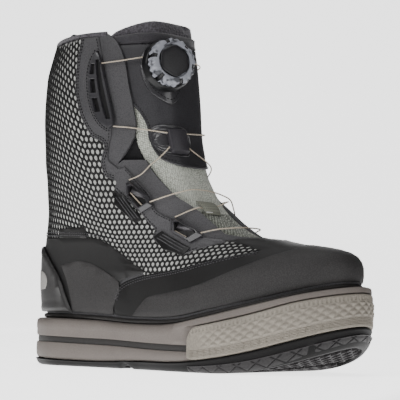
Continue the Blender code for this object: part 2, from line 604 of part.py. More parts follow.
def build_upper():
    """Upper, its overlays, the collar pad and the pull loop."""
    lateral = THROAT[1:]
    outline = [(-1.0, 0.0), (1.0, 0.0), THROAT[0]] + lateral
    outline += other_side(lateral[::-1]) + [(-1.0, THROAT[0][1])]
    sheet("upper", outline, -WALL, 0.0, ("4a4a4b", 0.8), seam=lambda p: abs(abs(p[0]) - 1.0) < 1e-6)
    dark, grey = ("3c3a3a", 0.7), ("5c5b5c", 0.65)
    sheet("vamp_rand", mirrored(VAMP), PANEL_LOW, PANEL_HIGH, ("464445", 0.7))
    for side, way in (("lateral", list), ("medial", other_side)):
        sheet(f"quarter_rand_{side}", way(QUARTER), PANEL_LOW, PANEL_HIGH, dark)
        sheet(f"eyestay_{side}", way(EYESTAY), PANEL_LOW, PANEL_HIGH, grey)
        sheet(f"lace_guide_top_{side}", way(TOP_GUIDE), OVER_LOW, OVER_LOW + GUIDE, ("404042", 0.4))
        for place, shape in (("mid", MID_GUIDE), ("low", LOW_GUIDE)):
            corners = np.array(way(shape))
            centre = corners.mean(0)
            first = (corners[0] + corners[1] - corners[3] - corners[4]) / 4.0 * WINDOW
            second = (corners[1] + corners[2] - corners[4] - corners[5]) / 4.0 * WINDOW
            sheet(f"lace_guide_{place}_{side}", way(shape), OVER_LOW, OVER_LOW + LOOP_GUIDE,
                  ("404042", 0.4), windows=[(centre, first, second)])
    sheet("heel_counter", mirrored(COUNTER_EDGE), OVER_LOW, OVER_LOW + COUNTER, ("555454", 0.5))
    sheet("backstay", mirrored(BACKSTAY_EDGE), PANEL_LOW, PANEL_HIGH, dark)
    build_welt()
    collar = [(-0.535, 0.84), (0.535, 0.84), (0.540, 0.93), (0.535, 1.010), (-0.535, 1.010),
              (-0.540, 0.93)]
    sheet("collar_pad", collar, -(WALL + FIT + COLLAR_PAD), -(WALL + FIT), ("3a383b", 0.9))
    build_pull_loop()


def build_welt():
    """Rubber strip round the feather line, seated on the midsole."""
    outline = [(-1.0, 0.0), (1.0, 0.0), (1.0, WELT_RISE), (-1.0, WELT_RISE)]

    def layer(off):
        def place(points):
            placed = on_facets(points, off)
            seat = sole_top(placed[:, 0] + HEEL_SEAT) + FIT
            share = points[:, 1] / WELT_RISE
            placed[:, 2] = np.where(share < 0.5, seat, np.maximum(placed[:, 2], seat))
            return placed
        return place

    flat = cut_flat(outline, *chart_lines(outline), facets=True)
    solid("welt", flat, [layer(PANEL_LOW), layer(PANEL_HIGH + WELT_WIDTH)], ("393739", 0.6),
          seam=lambda p: abs(abs(p[0]) - 1.0) < 1e-6)


def build_pull_loop():
    """Webbing loop over the back of the collar, from the backstay to the pad."""
    thick = 0.0012
    outside, inside = PANEL_HIGH + FIT, -(WALL + 2 * FIT + COLLAR_PAD)
    middle, half = (outside + inside) / 2.0, (outside - inside) / 2.0
    route = [(outside, 0.89), (outside, 0.93), (outside, 1.0)]
    for k in range(7):
        turned = math.pi * k / 6.0
        route.append((middle + half * math.cos(turned),
                      1.02 + PULL_RISE / SHAFT_HEIGHT * math.sin(turned)))
    route += [(inside, 1.0), (inside, 0.93), (inside, 0.89)]
    spread = PULL_WIDTH / 2.0 / (BALL_WIDTH * 1.7)
    turns = (-spread, 0.0, spread)
    inner = np.array([on_facets([(turn, rise) for turn in turns], off) for off, rise in route])
    ahead = np.gradient(inner, axis=0)
    across = np.array([0.0, 1.0, 0.0])
    normal = np.cross(ahead, across)
    normal /= np.linalg.norm(normal, axis=-1, keepdims=True)
    centre = surface(0.0, 1.0, middle)
    away = ((inner - centre) * normal).sum()
    outer = inner + normal * thick * (1.0 if away > 0 else -1.0)
    mesh = bmesh.new()
    rows = [[[mesh.verts.new(p) for p in line] for line in layer] for layer in (inner, outer)]
    last = len(route) - 1
    for k in range(last):
        for j in range(2):
            for layer in rows:
                mesh.faces.new([layer[k][j], layer[k + 1][j], layer[k + 1][j + 1], layer[k][j + 1]])
        for j in (0, 2):
            mesh.faces.new([rows[0][k][j], rows[0][k + 1][j], rows[1][k + 1][j], rows[1][k][j]])
    for k in (0, last):
        for j in range(2):
            mesh.faces.new([rows[0][k][j], rows[0][k][j + 1], rows[1][k][j + 1], rows[1][k][j]])
    finish("pull_loop", mesh, ("2c2b2d", 0.9))


def build_tongue():
    """Tongue, its panel, the lace guide on it and the lace keeper."""
    sheet("tongue", mirrored(TONGUE_EDGE), TONGUE_TOP - TONGUE, TONGUE_TOP, ("90918c", 0.9))
    sheet("tongue_panel", mirrored(TONGUE_PANEL_EDGE), TONGUE_TOP + FIT, TONGUE_PANEL_TOP,
          ("555356", 0.7))
    sheet("tongue_guide_flange", GUIDE_FLANGE, FLANGE_LOW, FLANGE_HIGH, ("3b3a3d", 0.5))
    flat = cut_flat(GUIDE_BLOCK, *chart_lines(GUIDE_BLOCK), facets=True)
    middle = np.array(GUIDE_BLOCK).mean(0)

    def block(off, shrink):
        return lambda p: on_facets(middle + (p - middle) * shrink, off)

    solid("tongue_guide", flat, [block(SEAT, 1.0), block(SEAT + 0.0045, 1.0),
                                 block(SEAT + 0.0055, 0.86)], ("424044", 0.5))
    low, high = KEEPER[0][1], KEEPER[2][1]
    turns, rises = chart_lines(KEEPER)
    steps = [low + (high - low) * k / 6.0 for k in range(1, 6)]
    flat = cut_flat(KEEPER, turns, list(rises) + steps)

    def strap(base):
        def place(points):
            share = np.clip((points[:, 1] - low) / (high - low), 0.0, 1.0)
            return on_facets(points, base + KEEPER_ARCH * np.sin(math.pi * share) ** 0.7)
        return place

    base = TONGUE_TOP + FIT
    solid("lace_keeper", flat, [strap(base), strap(base + KEEPER_STRAP)], ("8a8a80", 0.9))


def dial_frame():
    """Middle of the dial on the tongue's panel, its axis and two directions across it."""
    centre = surface(*DIAL_AT, SEAT)
    axis = surface(*DIAL_AT, SEAT + 0.001) - centre
    axis /= np.linalg.norm(axis)
    across = np.cross([0.0, 0.0, 1.0], axis)
    across /= np.linalg.norm(across)
    return centre, axis, across, np.cross(axis, across)


def turned(name, profile, finish_of, sides=24, lobes=0, depth=0.0):
    """Body turned about the dial's axis from (radius, height) pairs, with lobes on its rim."""
    centre, axis, across, up = dial_frame()
    mesh = bmesh.new()
    rings = []
    for radius, height in profile:
        if radius == 0.0:
            rings.append([mesh.verts.new(centre + axis * height)])
            continue
        ring = []
        for k in range(sides):
            angle = 2.0 * math.pi * k / sides
            lobed = depth if radius > CAP_RADIUS + depth else 0.0
            reach = radius - lobed * (0.5 + 0.5 * math.cos(lobes * angle))
            ring.append(mesh.verts.new(centre + axis * height + across * reach * math.cos(angle)
                                       + up * reach * math.sin(angle)))
        rings.append(ring)
    for low, high in zip(rings[:-1], rings[1:]):
        for k in range(sides):
            n = (k + 1) % sides
            quad = [low[k % len(low)], low[n % len(low)], high[n % len(high)], high[k % len(high)]]
            mesh.faces.new(list(dict.fromkeys(quad)))
    return finish(name, mesh, finish_of)


def build_dial():
    """Lace dial: flange on the tongue's panel, housing, knob and cap."""
    sheet("dial_flange", DIAL_FLANGE, FLANGE_LOW, FLANGE_HIGH, ("3b3a3d", 0.5))
    centre, axis, across, up = dial_frame()
    turn, rise = DIAL_AT
    high = DIAL_TURN * DIAL_RADIUS / 0.0195
    tall = DIAL_RADIUS / SHAFT_HEIGHT
    ring = [(math.cos(2 * math.pi * k / 20), math.sin(2 * math.pi * k / 20)) for k in range(20)]
    outline = [(turn + 0.84 * high * a, rise + 0.84 * tall * b) for a, b in ring]
    flat = cut_flat(outline, *chart_lines(outline), facets=True)

    def disc(radius, height):
        def place(points):
            a = (points[:, 0] - turn) / (0.84 * high)
            b = (points[:, 1] - rise) / (0.84 * tall)
            return (centre + axis * height + np.outer(a, across) * radius
                    + np.outer(b, up) * radius)
        return place

    solid("dial_base", flat, [lambda p: on_facets(p, SEAT),
                              disc(DIAL_RADIUS * 0.95, DIAL_BASE * 0.7),
                              disc(DIAL_RADIUS * 0.90, DIAL_BASE)], ("1c1b1d", 0.4))
    base, top = DIAL_BASE + FIT, DIAL_BASE + FIT + DIAL_KNOB
    turned("dial_knob", [(0.0, base), (DIAL_RADIUS - 0.001, base), (DIAL_RADIUS, base + 0.002),
                         (DIAL_RADIUS, top - 0.003), (DIAL_RADIUS - 0.003, top),
                         (CAP_RADIUS + FIT, top), (CAP_RADIUS + FIT, top - 0.002),
                         (0.0, top - 0.002)], ("8f9299", 0.5), sides=24, lobes=12, depth=0.0009)
    turned("dial_cap", [(0.0, top - 0.002 + FIT), (CAP_RADIUS, top - 0.002 + FIT),
                        (CAP_RADIUS, top + 0.0006), (CAP_RADIUS - 0.0016, top + 0.0014),
                        (0.0, top + 0.0014)], ("1c1a1c", 0.4))


def lace(name, route):
    """One run of the wire, as a tube along a smooth line over the upper."""
    rows = np.array(route)
    at = np.linspace(0.0, 1.0, len(rows))
    fine = np.linspace(0.0, 1.0, 2 * (len(rows) - 1) + 1)
    turn, rise, lift = (along(np.column_stack([at, rows[:, k]]), fine) for k in range(3))
    places = surface(turn, rise, lift * WIRE)
    curve = bpy.data.curves.new(name, "CURVE")
    curve.dimensions = "3D"
    curve.bevel_depth = WIRE / 2.0
    curve.bevel_resolution = 0
    curve.use_fill_caps = True
    spline = curve.splines.new("POLY")
    spline.points.add(len(places) - 1)
    for point, place in zip(spline.points, places):
        point.co = (*place, 1.0)
    made = bpy.data.objects.new(name, curve)
    bpy.context.scene.collection.objects.link(made)
    curve.materials.append(material(name, "b9aa98", 0.45))
    return made


def build_laces():
    """The closed wire lace: its runs between the guides."""
    for name, route in LACE_RUNS.items():
        lace(name, route)


def main():
    """Build the boot in an empty scene."""
    for old in list(bpy.data.objects):
        bpy.data.objects.remove(old, do_unlink=True)
    build_sole()
    build_upper()
    build_tongue()
    build_dial()
    build_laces()


main()
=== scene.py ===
"""Visual model of a right wading boot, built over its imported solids.

Metres, +X to the toe, +Y to the inner side, +Z up. Every panel, guide and wire lies on one
surface, the last, which is addressed by turn (0 at the heel, 1 at the front by the outer side)
and rise (0 at the feather line, 1 at the collar).
"""
from __future__ import annotations

import logging
import math
from dataclasses import dataclass
from enum import Enum
from typing import Callable, Sequence

import bpy
import numpy as np
from mathutils import Matrix, Vector


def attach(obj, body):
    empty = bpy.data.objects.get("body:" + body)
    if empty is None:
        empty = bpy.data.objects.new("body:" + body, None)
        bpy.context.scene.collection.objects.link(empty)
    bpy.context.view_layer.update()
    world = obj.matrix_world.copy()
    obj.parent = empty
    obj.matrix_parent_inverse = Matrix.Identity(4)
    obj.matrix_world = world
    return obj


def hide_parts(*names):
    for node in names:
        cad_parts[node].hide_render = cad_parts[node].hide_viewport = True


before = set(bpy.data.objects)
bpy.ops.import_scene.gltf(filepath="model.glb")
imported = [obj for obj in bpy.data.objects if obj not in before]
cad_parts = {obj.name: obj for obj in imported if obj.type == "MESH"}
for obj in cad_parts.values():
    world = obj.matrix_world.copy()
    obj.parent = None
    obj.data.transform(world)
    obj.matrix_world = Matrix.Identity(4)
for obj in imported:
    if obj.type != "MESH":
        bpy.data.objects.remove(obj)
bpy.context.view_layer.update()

log = logging.getLogger("boot")
Array = np.ndarray
Outline = Sequence[tuple[float, float]]

MM = 0.001
FIT = 0.00035           # gap between pieces that are glued or sewn
PANEL = 0.0011          # sewn overlay
OVER = PANEL + 2 * FIT  # height of what lies on an overlay
TURN_SCALE = 0.12       # metres of shaft for one turn, near enough to space points
RISE_SCALE = 0.227
SAME = 1e-6             # points nearer than this are one point


def ease(low: float, high: float, value: Array) -> Array:
    """Smooth step from 0 at low to 1 at high.

    Args:
        low: Where the step starts.
        high: Where it ends.
        value: Places to read.

    Returns:
        The step at each place.
    """
    t = np.clip((np.asarray(value, float) - low) / (high - low), 0.0, 1.0)
    return t * t * (3.0 - 2.0 * t)


def swell(value: Array, centre: float, width: float) -> Array:
    """Bell of height 1 about a centre."""
    return np.exp(-((value - centre) / width) ** 2)


def rolled(distance: Array, radius: float) -> Array:
    """Quarter round: 0 on a rim, 1 at a radius from it and beyond."""
    return np.sqrt(1.0 - (1.0 - np.clip(distance / radius, 0.0, 1.0)) ** 2)


def unit(rows: Array) -> Array:
    """Vectors scaled to length 1."""
    return rows / np.linalg.norm(rows, axis=-1, keepdims=True)


def run_along(points: Array) -> Array:
    """Length of a line from its first point to each of its points."""
    return np.concatenate([[0.0], np.cumsum(np.linalg.norm(np.diff(points, axis=0), axis=1))])


def hermite(t: Array, span: Array, ends: tuple, slopes: tuple) -> Array:
    """Cubic between two values with their slopes.

    Args:
        t: Share of the way, 0 to 1.
        span: Length of the way.
        ends: The two values.
        slopes: The two slopes.

    Returns:
        The value at t.
    """
    return ((2 * t**3 - 3 * t**2 + 1) * ends[0] + (t**3 - 2 * t**2 + t) * span * slopes[0]
            + (-2 * t**3 + 3 * t**2) * ends[1] + (t**3 - t**2) * span * slopes[1])


def along(table: Sequence[Sequence[float]], place: Array, column: int = 1) -> Array:
    """Read a column of a table smoothly.

    Args:
        table: Rows that start with their place.
        place: Where to read.
        column: Which column.

    Returns:
        The column's value at each place, in a straight line past the end.
    """
    rows = np.array(table, float)
    at, values = rows[:, 0], rows[:, column]
    slopes = np.gradient(values, at)
    place = np.asarray(place, float)
    past = np.where(place > at[-1], (place - at[-1]) * slopes[-1], 0.0)
    place = np.clip(place, at[0], at[-1])
    k = np.clip(np.searchsorted(at, place, side="right") - 1, 0, len(at) - 2)
    span = at[k + 1] - at[k]
    t = (place - at[k]) / span
    return hermite(t, span, (values[k], values[k + 1]), (slopes[k], slopes[k + 1])) + past


def smooth_line(points: Sequence[Sequence[float]], step: float, closed: bool = False,
                corner: float = 55.0) -> Array:
    """Curve through points on the chart, with its sharp corners kept.

    Args:
        points: Points (turn, rise, further columns).
        step: Spacing of the result in metres.
        closed: Whether the line comes back to its start.
        corner: Angle in degrees past which a point stays a corner.

    Returns:
        Evenly spaced points with the same columns.
    """
    rows = np.array(points, float)
    count = len(rows)
    scale = np.array([TURN_SCALE, RISE_SCALE])
    flat = rows[:, :2] * scale
    last = count if closed else count - 1
    following = np.roll(rows, -1, 0)
    ahead = np.roll(flat, -1, 0) - flat
    length = np.maximum(np.linalg.norm(ahead, axis=1), 1e-9)
    tangents = np.zeros_like(rows)
    sharp = np.zeros(count, bool)
    for k in range(count):
        if not closed and k in (0, count - 1):
            tangents[k] = following[0] - rows[0] if k == 0 else rows[-1] - rows[-2]
            tangents[k] /= length[0] if k == 0 else length[-2]
            continue
        before = length[k - 1]
        turn = np.degrees(np.arccos(np.clip(np.dot(ahead[k - 1], ahead[k])
                                            / (before * length[k]), -1.0, 1.0)))
        sharp[k] = turn > corner
        tangents[k] = (following[k] - rows[k - 1]) / (before + length[k])
    result = []
    for k in range(last):
        n = (k + 1) % count
        span = length[k]
        chord = (following[k] - rows[k]) / span
        slopes = (chord if sharp[k] else tangents[k], chord if sharp[n] else tangents[n])
        pieces = max(1, int(math.ceil(span / step)))
        for t in np.arange(pieces) / pieces:
            result.append(hermite(t, span, (rows[k], rows[n]), slopes))
    if not closed:
        result.append(rows[-1])
    return np.array(result)


def inside(points: Array, outline: Array) -> Array:
    """Which points lie in a closed outline.

    Args:
        points: Points (turn, rise).
        outline: Corners of the outline.

    Returns:
        True for each point inside.
    """
    x, y = points[:, 0], points[:, 1]
    hit = np.zeros(len(points), bool)
    for a, b in zip(outline, np.roll(outline, -1, 0)):
        if a[1] == b[1]:
            continue
        across = (a[1] > y) != (b[1] > y)
        hit ^= across & (x < (b[0] - a[0]) * (y - a[1]) / (b[1] - a[1]) + a[0])
    return hit


def other_side(outline: Outline) -> list[tuple[float, float]]:
    """The same outline on the medial side."""
    return [(-p[0], *p[1:]) for p in outline]


SIDES = {"lateral": list, "medial": other_side}


def over_front(outline: Outline) -> list[tuple[float, float]]:
    """Close a half outline over the front, turn 1, or over the heel, turn 0."""
    centre = 1.0 if max(p[0] for p in outline) > 0.5 else 0.0
    mirrored = [(2.0 * centre - p[0], *p[1:]) for p in reversed(outline)]
    return list(outline) + [p for p in mirrored if p not in outline]


@dataclass
class Last:
    """The boot's form: sole heights and the outer face of the upper."""

    length: float = 0.318
    ball_width: float = 0.120
    sole_height: float = 0.040
    shaft_height: float = 0.227
    toe_spring: float = 0.024
    heel_seat: float = 0.045
    wall: float = 0.0024

    SOLE_TOP = [(0.0, 0.98), (0.15, 0.97), (0.30, 0.94), (0.45, 0.885), (0.58, 0.905),
                (0.69, 1.055), (0.82, 1.29), (0.92, 1.50), (1.0, 1.66)]
    OUTSOLE_TOP = [(0.0, 0.155), (0.36, 0.135), (0.43, 0.160), (0.65, 0.215), (0.82, 0.44),
                   (0.92, 0.68), (1.0, 0.90)]
    WRAP_TOP = [(0.60, 0.78), (0.69, 0.895), (0.82, 1.115), (0.92, 1.36), (1.0, 1.52)]
    SOLE_PLAN = [
        (0.000, 0.000), (0.030, -0.200), (0.110, -0.335), (0.270, -0.365), (0.450, -0.405),
        (0.640, -0.485), (0.800, -0.445), (0.920, -0.290), (0.983, -0.085), (1.000, 0.085),
        (0.975, 0.260), (0.905, 0.400), (0.800, 0.480), (0.690, 0.505), (0.560, 0.450),
        (0.420, 0.360), (0.270, 0.335), (0.110, 0.315), (0.030, 0.190)]
    # rise; back and front ends; half widths at heel, waist and ball; follow; front exponent; lean
    LEVELS = [
        (0.000, 0.012, 0.968, 0.335, 0.365, 0.455, 1.00, 0.82, 0.00),
        (0.064, 0.003, 0.976, 0.342, 0.360, 0.465, 1.00, 0.82, 0.00),
        (0.127, 0.000, 0.952, 0.338, 0.348, 0.432, 0.90, 0.82, 0.00),
        (0.172, 0.000, 0.903, 0.332, 0.340, 0.388, 0.75, 0.79, 0.00),
        (0.209, 0.001, 0.853, 0.328, 0.336, 0.354, 0.55, 0.74, 0.01),
        (0.245, 0.005, 0.789, 0.325, 0.334, 0.327, 0.35, 0.69, 0.02),
        (0.295, 0.012, 0.707, 0.325, 0.333, 0.304, 0.20, 0.60, 0.04),
        (0.372, 0.019, 0.621, 0.333, 0.339, 0.305, 0.05, 0.52, 0.06),
        (0.472, 0.022, 0.560, 0.351, 0.360, 0.319, 0.00, 0.50, 0.06),
        (0.600, 0.020, 0.520, 0.380, 0.387, 0.347, 0.00, 0.50, 0.06),
        (0.764, 0.020, 0.502, 0.401, 0.410, 0.370, 0.00, 0.50, 0.06),
        (0.890, 0.033, 0.490, 0.401, 0.412, 0.370, 0.00, 0.50, 0.06),
        (1.000, 0.062, 0.476, 0.386, 0.405, 0.364, 0.00, 0.50, 0.06)]
    STATIONS = (0.0, 0.22, 0.5, 0.76, 1.0)
    # Soft troughs and ridges: turn, rise, half length and half width on the chart, height in mm
    CREASES = [
        (0.60, 0.205, 0.16, 0.016, -0.5), (0.72, 0.170, 0.14, 0.014, 0.35),
        (0.86, 0.215, 0.16, 0.014, -0.45), (0.33, 0.420, 0.10, 0.050, -0.9),
        (0.22, 0.560, 0.12, 0.050, 0.6), (0.36, 0.700, 0.10, 0.060, -0.6),
        (0.14, 0.380, 0.06, 0.060, -0.7), (0.45, 0.330, 0.05, 0.040, 0.5),
        (0.27, 0.880, 0.14, 0.040, 0.5)]

    def sole_top(self, x: Array) -> Array:
        """Height of the midsole's top, x from the back of the sole."""
        return self.sole_height * along(self.SOLE_TOP, x / self.length)

    def outsole_top(self, x: Array) -> Array:
        """Height of the outsole's top."""
        return self.sole_height * along(self.OUTSOLE_TOP, x / self.length)

    def tread(self, x: Array) -> Array:
        """Height of the lowest rubber: flat, then the toe spring."""
        share = np.clip((x / self.length - 0.70) / 0.30, 0.0, None)
        notch = np.interp(x / self.length, (0.393, 0.402, 0.420, 0.432), (0.0, 1.0, 1.0, 0.0))
        return self.toe_spring * share**2.2 + 0.0040 * notch

    def swing(self, x: Array) -> Array:
        """The toe's swing to the medial side."""
        return self.ball_width * 0.075 * ease(0.62, 1.0, x / self.length)

    def level_point(self, turn: Array, rise: Array) -> Array:
        """Point on the outer face.

        Args:
            turn: Turn round the last.
            rise: Height on the chart.

        Returns:
            Points, x from the back of the sole.
        """
        back, front, heel, waist, ball, follow, blunt, lean = (
            along(self.LEVELS, rise, column) for column in range(1, 9))
        turn = (turn + 1.0) % 2.0 - 1.0
        left = 1.0 - np.abs(turn)
        left = np.where(left < 0.5, 0.5 * (2.0 * left) ** (1.0 / blunt), left)
        angle = math.pi * (1.0 - left) * np.where(turn < 0.0, -1.0, 1.0)
        share = (1.0 - np.cos(angle)) / 2.0
        x = self.length * (back + (front - back) * share)
        stations = np.array(self.STATIONS)
        widths = np.stack([heel * 0.90, heel, waist, ball, ball * 0.92], -1)
        slopes = np.gradient(widths, stations, axis=-1)
        k = np.clip(np.searchsorted(stations, share, side="right") - 1, 0, 3)
        span = stations[k + 1] - stations[k]

        def pick(rows: Array, index: Array) -> Array:
            """Column index of each row."""
            return np.take_along_axis(rows, index[..., None], -1)[..., 0]

        width = hermite((share - stations[k]) / span, span, (pick(widths, k), pick(widths, k + 1)),
                        (pick(slopes, k), pick(slopes, k + 1)))
        power = 0.82 + (blunt - 0.82) * ease(0.3, 0.9, share)
        side = np.sin(angle)
        y = -self.ball_width * width * np.sign(side) * np.abs(side) ** power
        y = y + self.swing(x) - self.ball_width * lean * share
        z = (self.sole_top(x) * follow + (1.0 - follow) * self.sole_height
             + rise * self.shaft_height + FIT)
        return np.stack([x, y, z], -1)

    def creases(self, turn: Array, rise: Array) -> Array:
        """Height of the soft creases, in metres."""
        turn = (turn + 1.0) % 2.0 - 1.0
        total = np.zeros(np.shape(turn))
        for centre, level, long, wide, height in self.CREASES:
            gap = ((np.abs(turn) - centre) / long) ** 2 + ((rise - level) / wide) ** 2
            total = total + height * MM * np.exp(-2.0 * gap)
        return total

    def place(self, turn: Array, rise: Array, off: Array = 0.0) -> Array:
        """Point off metres outside the last, in the row frame.

        Args:
            turn: Turn round the last.
            rise: Height on the chart.
            off: Distance outside the face.

        Returns:
            Points in metres.
        """
        turn, rise, off = np.broadcast_arrays(np.asarray(turn, float), np.asarray(rise, float),
                                              np.asarray(off, float))
        step = 1e-4
        across = self.level_point(turn + step, rise) - self.level_point(turn - step, rise)
        up = self.level_point(turn, rise + step) - self.level_point(turn, rise - step)
        normal = unit(np.cross(across, up))
        lift = (off + self.creases(turn, rise))[..., None]
        return self.level_point(turn, rise) + normal * lift - np.array([self.heel_seat, 0.0, 0.0])


class ArcMap:
    """Lengths on the last: s round it from the heel, t up it from the feather line."""

    def __init__(self, last: Last) -> None:
        """Measure the last on a fine grid."""
        self.turns = np.linspace(0.0, 1.0, 161)
        self.rises = np.linspace(0.0, 1.08, 109)
        turn, rise = np.meshgrid(self.turns, self.rises, indexing="ij")
        spots = last.place(turn, rise)
        self.s = np.zeros(turn.shape)
        self.t = np.zeros(turn.shape)
        self.s[1:] = np.cumsum(np.linalg.norm(np.diff(spots, axis=0), axis=-1), axis=0)
        self.t[:, 1:] = np.cumsum(np.linalg.norm(np.diff(spots, axis=1), axis=-1), axis=1)

    def read(self, turn: Array, rise: Array) -> tuple[Array, Array]:
        """Lengths at chart points.

        Args:
            turn: Turn, of either sign.
            rise: Rise.

        Returns:
            s, with the sign of turn, and t.
        """
        sign = np.where(turn < 0.0, -1.0, 1.0)
        over = np.abs(turn) > 1.0
        mirror = np.where(over, 2.0 - np.abs(turn), np.abs(turn))
        a = np.clip(mirror, 0.0, 0.999999) * (len(self.turns) - 1)
        b = np.clip(rise / 1.08, 0.0, 0.999999) * (len(self.rises) - 1)
        i, j = a.astype(int), b.astype(int)
        fa, fb = a - i, b - j

        def mix(rows: Array) -> Array:
            """Bilinear reading of a grid."""
            return ((rows[i, j] * (1 - fa) + rows[i + 1, j] * fa) * (1 - fb)
                    + (rows[i, j + 1] * (1 - fa) + rows[i + 1, j + 1] * fa) * fb)

        s, t = mix(self.s), mix(self.t)
        front = self.s[-1][np.minimum(j, len(self.rises) - 1)]
        return sign * np.where(over, 2.0 * front - s, s), t

    def find(self, s: Array, t: Array, turn: float, rise: float) -> tuple[Array, Array]:
        """Chart points at given lengths, by Newton's method.

        Args:
            s: Lengths round the last.
            t: Lengths up the last.
            turn: Where to start.
            rise: Where to start.

        Returns:
            turn and rise.
        """
        a, b = np.broadcast_to(turn, s.shape).copy(), np.broadcast_to(rise, s.shape).copy()
        step = 0.004
        for _ in range(24):
            s0, t0 = self.read(a, b)
            sa, ta = self.read(a + step, b)
            sb, tb = self.read(a, b + step)
            m = np.array([[(sa - s0) / step, (sb - s0) / step],
                          [(ta - t0) / step, (tb - t0) / step]])
            det = m[0, 0] * m[1, 1] - m[0, 1] * m[1, 0]
            ds, dt = s - s0, t - t0
            a = np.clip(a + np.clip((m[1, 1] * ds - m[0, 1] * dt) / det, -0.1, 0.1), 0.0, 0.99)
            b = np.clip(b + np.clip((-m[1, 0] * ds + m[0, 0] * dt) / det, -0.1, 0.1), 0.0, 1.05)
        return a, b


LAST = Last()
ARCS = ArcMap(LAST)


def on_last(flat: Array, off: Array = 0.0) -> Array:
    """Places of chart points, off metres outside the last."""
    return LAST.place(flat[:, 0], flat[:, 1], off)


def lengths_of(flat: Array) -> Array:
    """Lengths round and up the last at chart points."""
    return np.column_stack(ARCS.read(flat[:, 0], flat[:, 1]))


def in_frame(flat: Array, height: Array) -> Array:
    """Points of the row's frame from x and y on the sole's plan and a height."""
    return np.column_stack([flat[:, 0] - LAST.heel_seat, flat[:, 1], height])


def rim_distance(points: Array, outlines: Sequence[Array]) -> Array:
    """Distance over the last from each chart point to the nearest outline.

    Args:
        points: Points (turn, rise).
        outlines: Closed outlines.

    Returns:
        The distance for each point, in metres.
    """
    best = np.full(len(points), np.inf)
    spots = lengths_of(points)
    for outline in outlines:
        corners = lengths_of(np.asarray(outline))
        for a, b in zip(corners, np.roll(corners, -1, 0)):
            run = b - a
            t = np.clip(((spots - a) @ run) / max(run @ run, 1e-18), 0.0, 1.0)
            best = np.minimum(best, np.linalg.norm(spots - a - t[:, None] * run, axis=1))
    return best


def beside(line: Outline, distance: float) -> Array:
    """Line that runs beside another one, over the last.

    Args:
        line: Points (turn, rise), all with turn from 0 to 1.
        distance: Metres to its left.

    Returns:
        Points (turn, rise).
    """
    fine = smooth_line(line, 0.003)
    flat = lengths_of(fine)
    way = unit(np.gradient(flat, axis=0))
    moved = flat + np.column_stack([-way[:, 1], way[:, 0]]) * distance
    return np.column_stack(ARCS.find(moved[:, 0], moved[:, 1], fine[:, 0], fine[:, 1]))


def linear(code: str) -> tuple[float, float, float, float]:
    """Turn an sRGB hex colour into linear values.

    Args:
        code: Six hex digits.

    Returns:
        Linear red, green, blue and full alpha.
    """
    parts = [int(code[k:k + 2], 16) / 255.0 for k in (0, 2, 4)]
    rgb = [c / 12.92 if c <= 0.04045 else ((c + 0.055) / 1.055) ** 2.4 for c in parts]
    return (*rgb, 1.0)


def add_node(material: bpy.types.Material, kind: str, inputs: dict | None = None,
             **settings: object) -> bpy.types.Node:
    """Add a shader node with its settings and links.

    Args:
        material: The material.
        kind: The node's type.
        inputs: Socket name or number to a value or to an output socket.
        settings: Attributes of the node.

    Returns:
        The new node.
    """
    node = material.node_tree.nodes.new(kind)
    for name, value in settings.items():
        setattr(node, name, value)
    for name, value in (inputs or {}).items():
        if isinstance(value, bpy.types.NodeSocket):
            material.node_tree.links.new(value, node.inputs[name])
        else:
            node.inputs[name].default_value = value
    return node


def remap(material: bpy.types.Material, value: bpy.types.NodeSocket,
          source: tuple[float, float], target: tuple[float, float] = (0.0, 1.0),
          **settings: object) -> bpy.types.NodeSocket:
    """Add a node that maps one range of values onto another.

    Args:
        material: The material.
        value: The value's socket.
        source: Range that it comes in.
        target: Range that it leaves in.
        settings: Attributes of the node.

    Returns:
        The result's socket.
    """
    inputs = {"Value": value, "From Min": source[0], "From Max": source[1],
              "To Min": target[0], "To Max": target[1]}
    return add_node(material, "ShaderNodeMapRange", inputs, **settings).outputs["Result"]


def compute(material: bpy.types.Material, operation: str,
            *values: object) -> bpy.types.NodeSocket:
    """Add a node that calculates with values or sockets."""
    return add_node(material, "ShaderNodeMath", dict(enumerate(values)),
                    operation=operation).outputs[0]


class Grain(Enum):
    """How a surface was made."""

    MOULDED = "moulded"     # fine spark-eroded texture of a mould
    HIDE = "hide"           # embossed grain of coated leather
    WOVEN = "woven"         # over and under threads
    KNIT = "knit"           # spacer mesh with small holes
    SPECKLED = "speckled"   # grit of an abrasion coat
    BLOTCHED = "blotched"   # two plastics swirled together
    CABLE = "cable"         # twisted strands under nylon


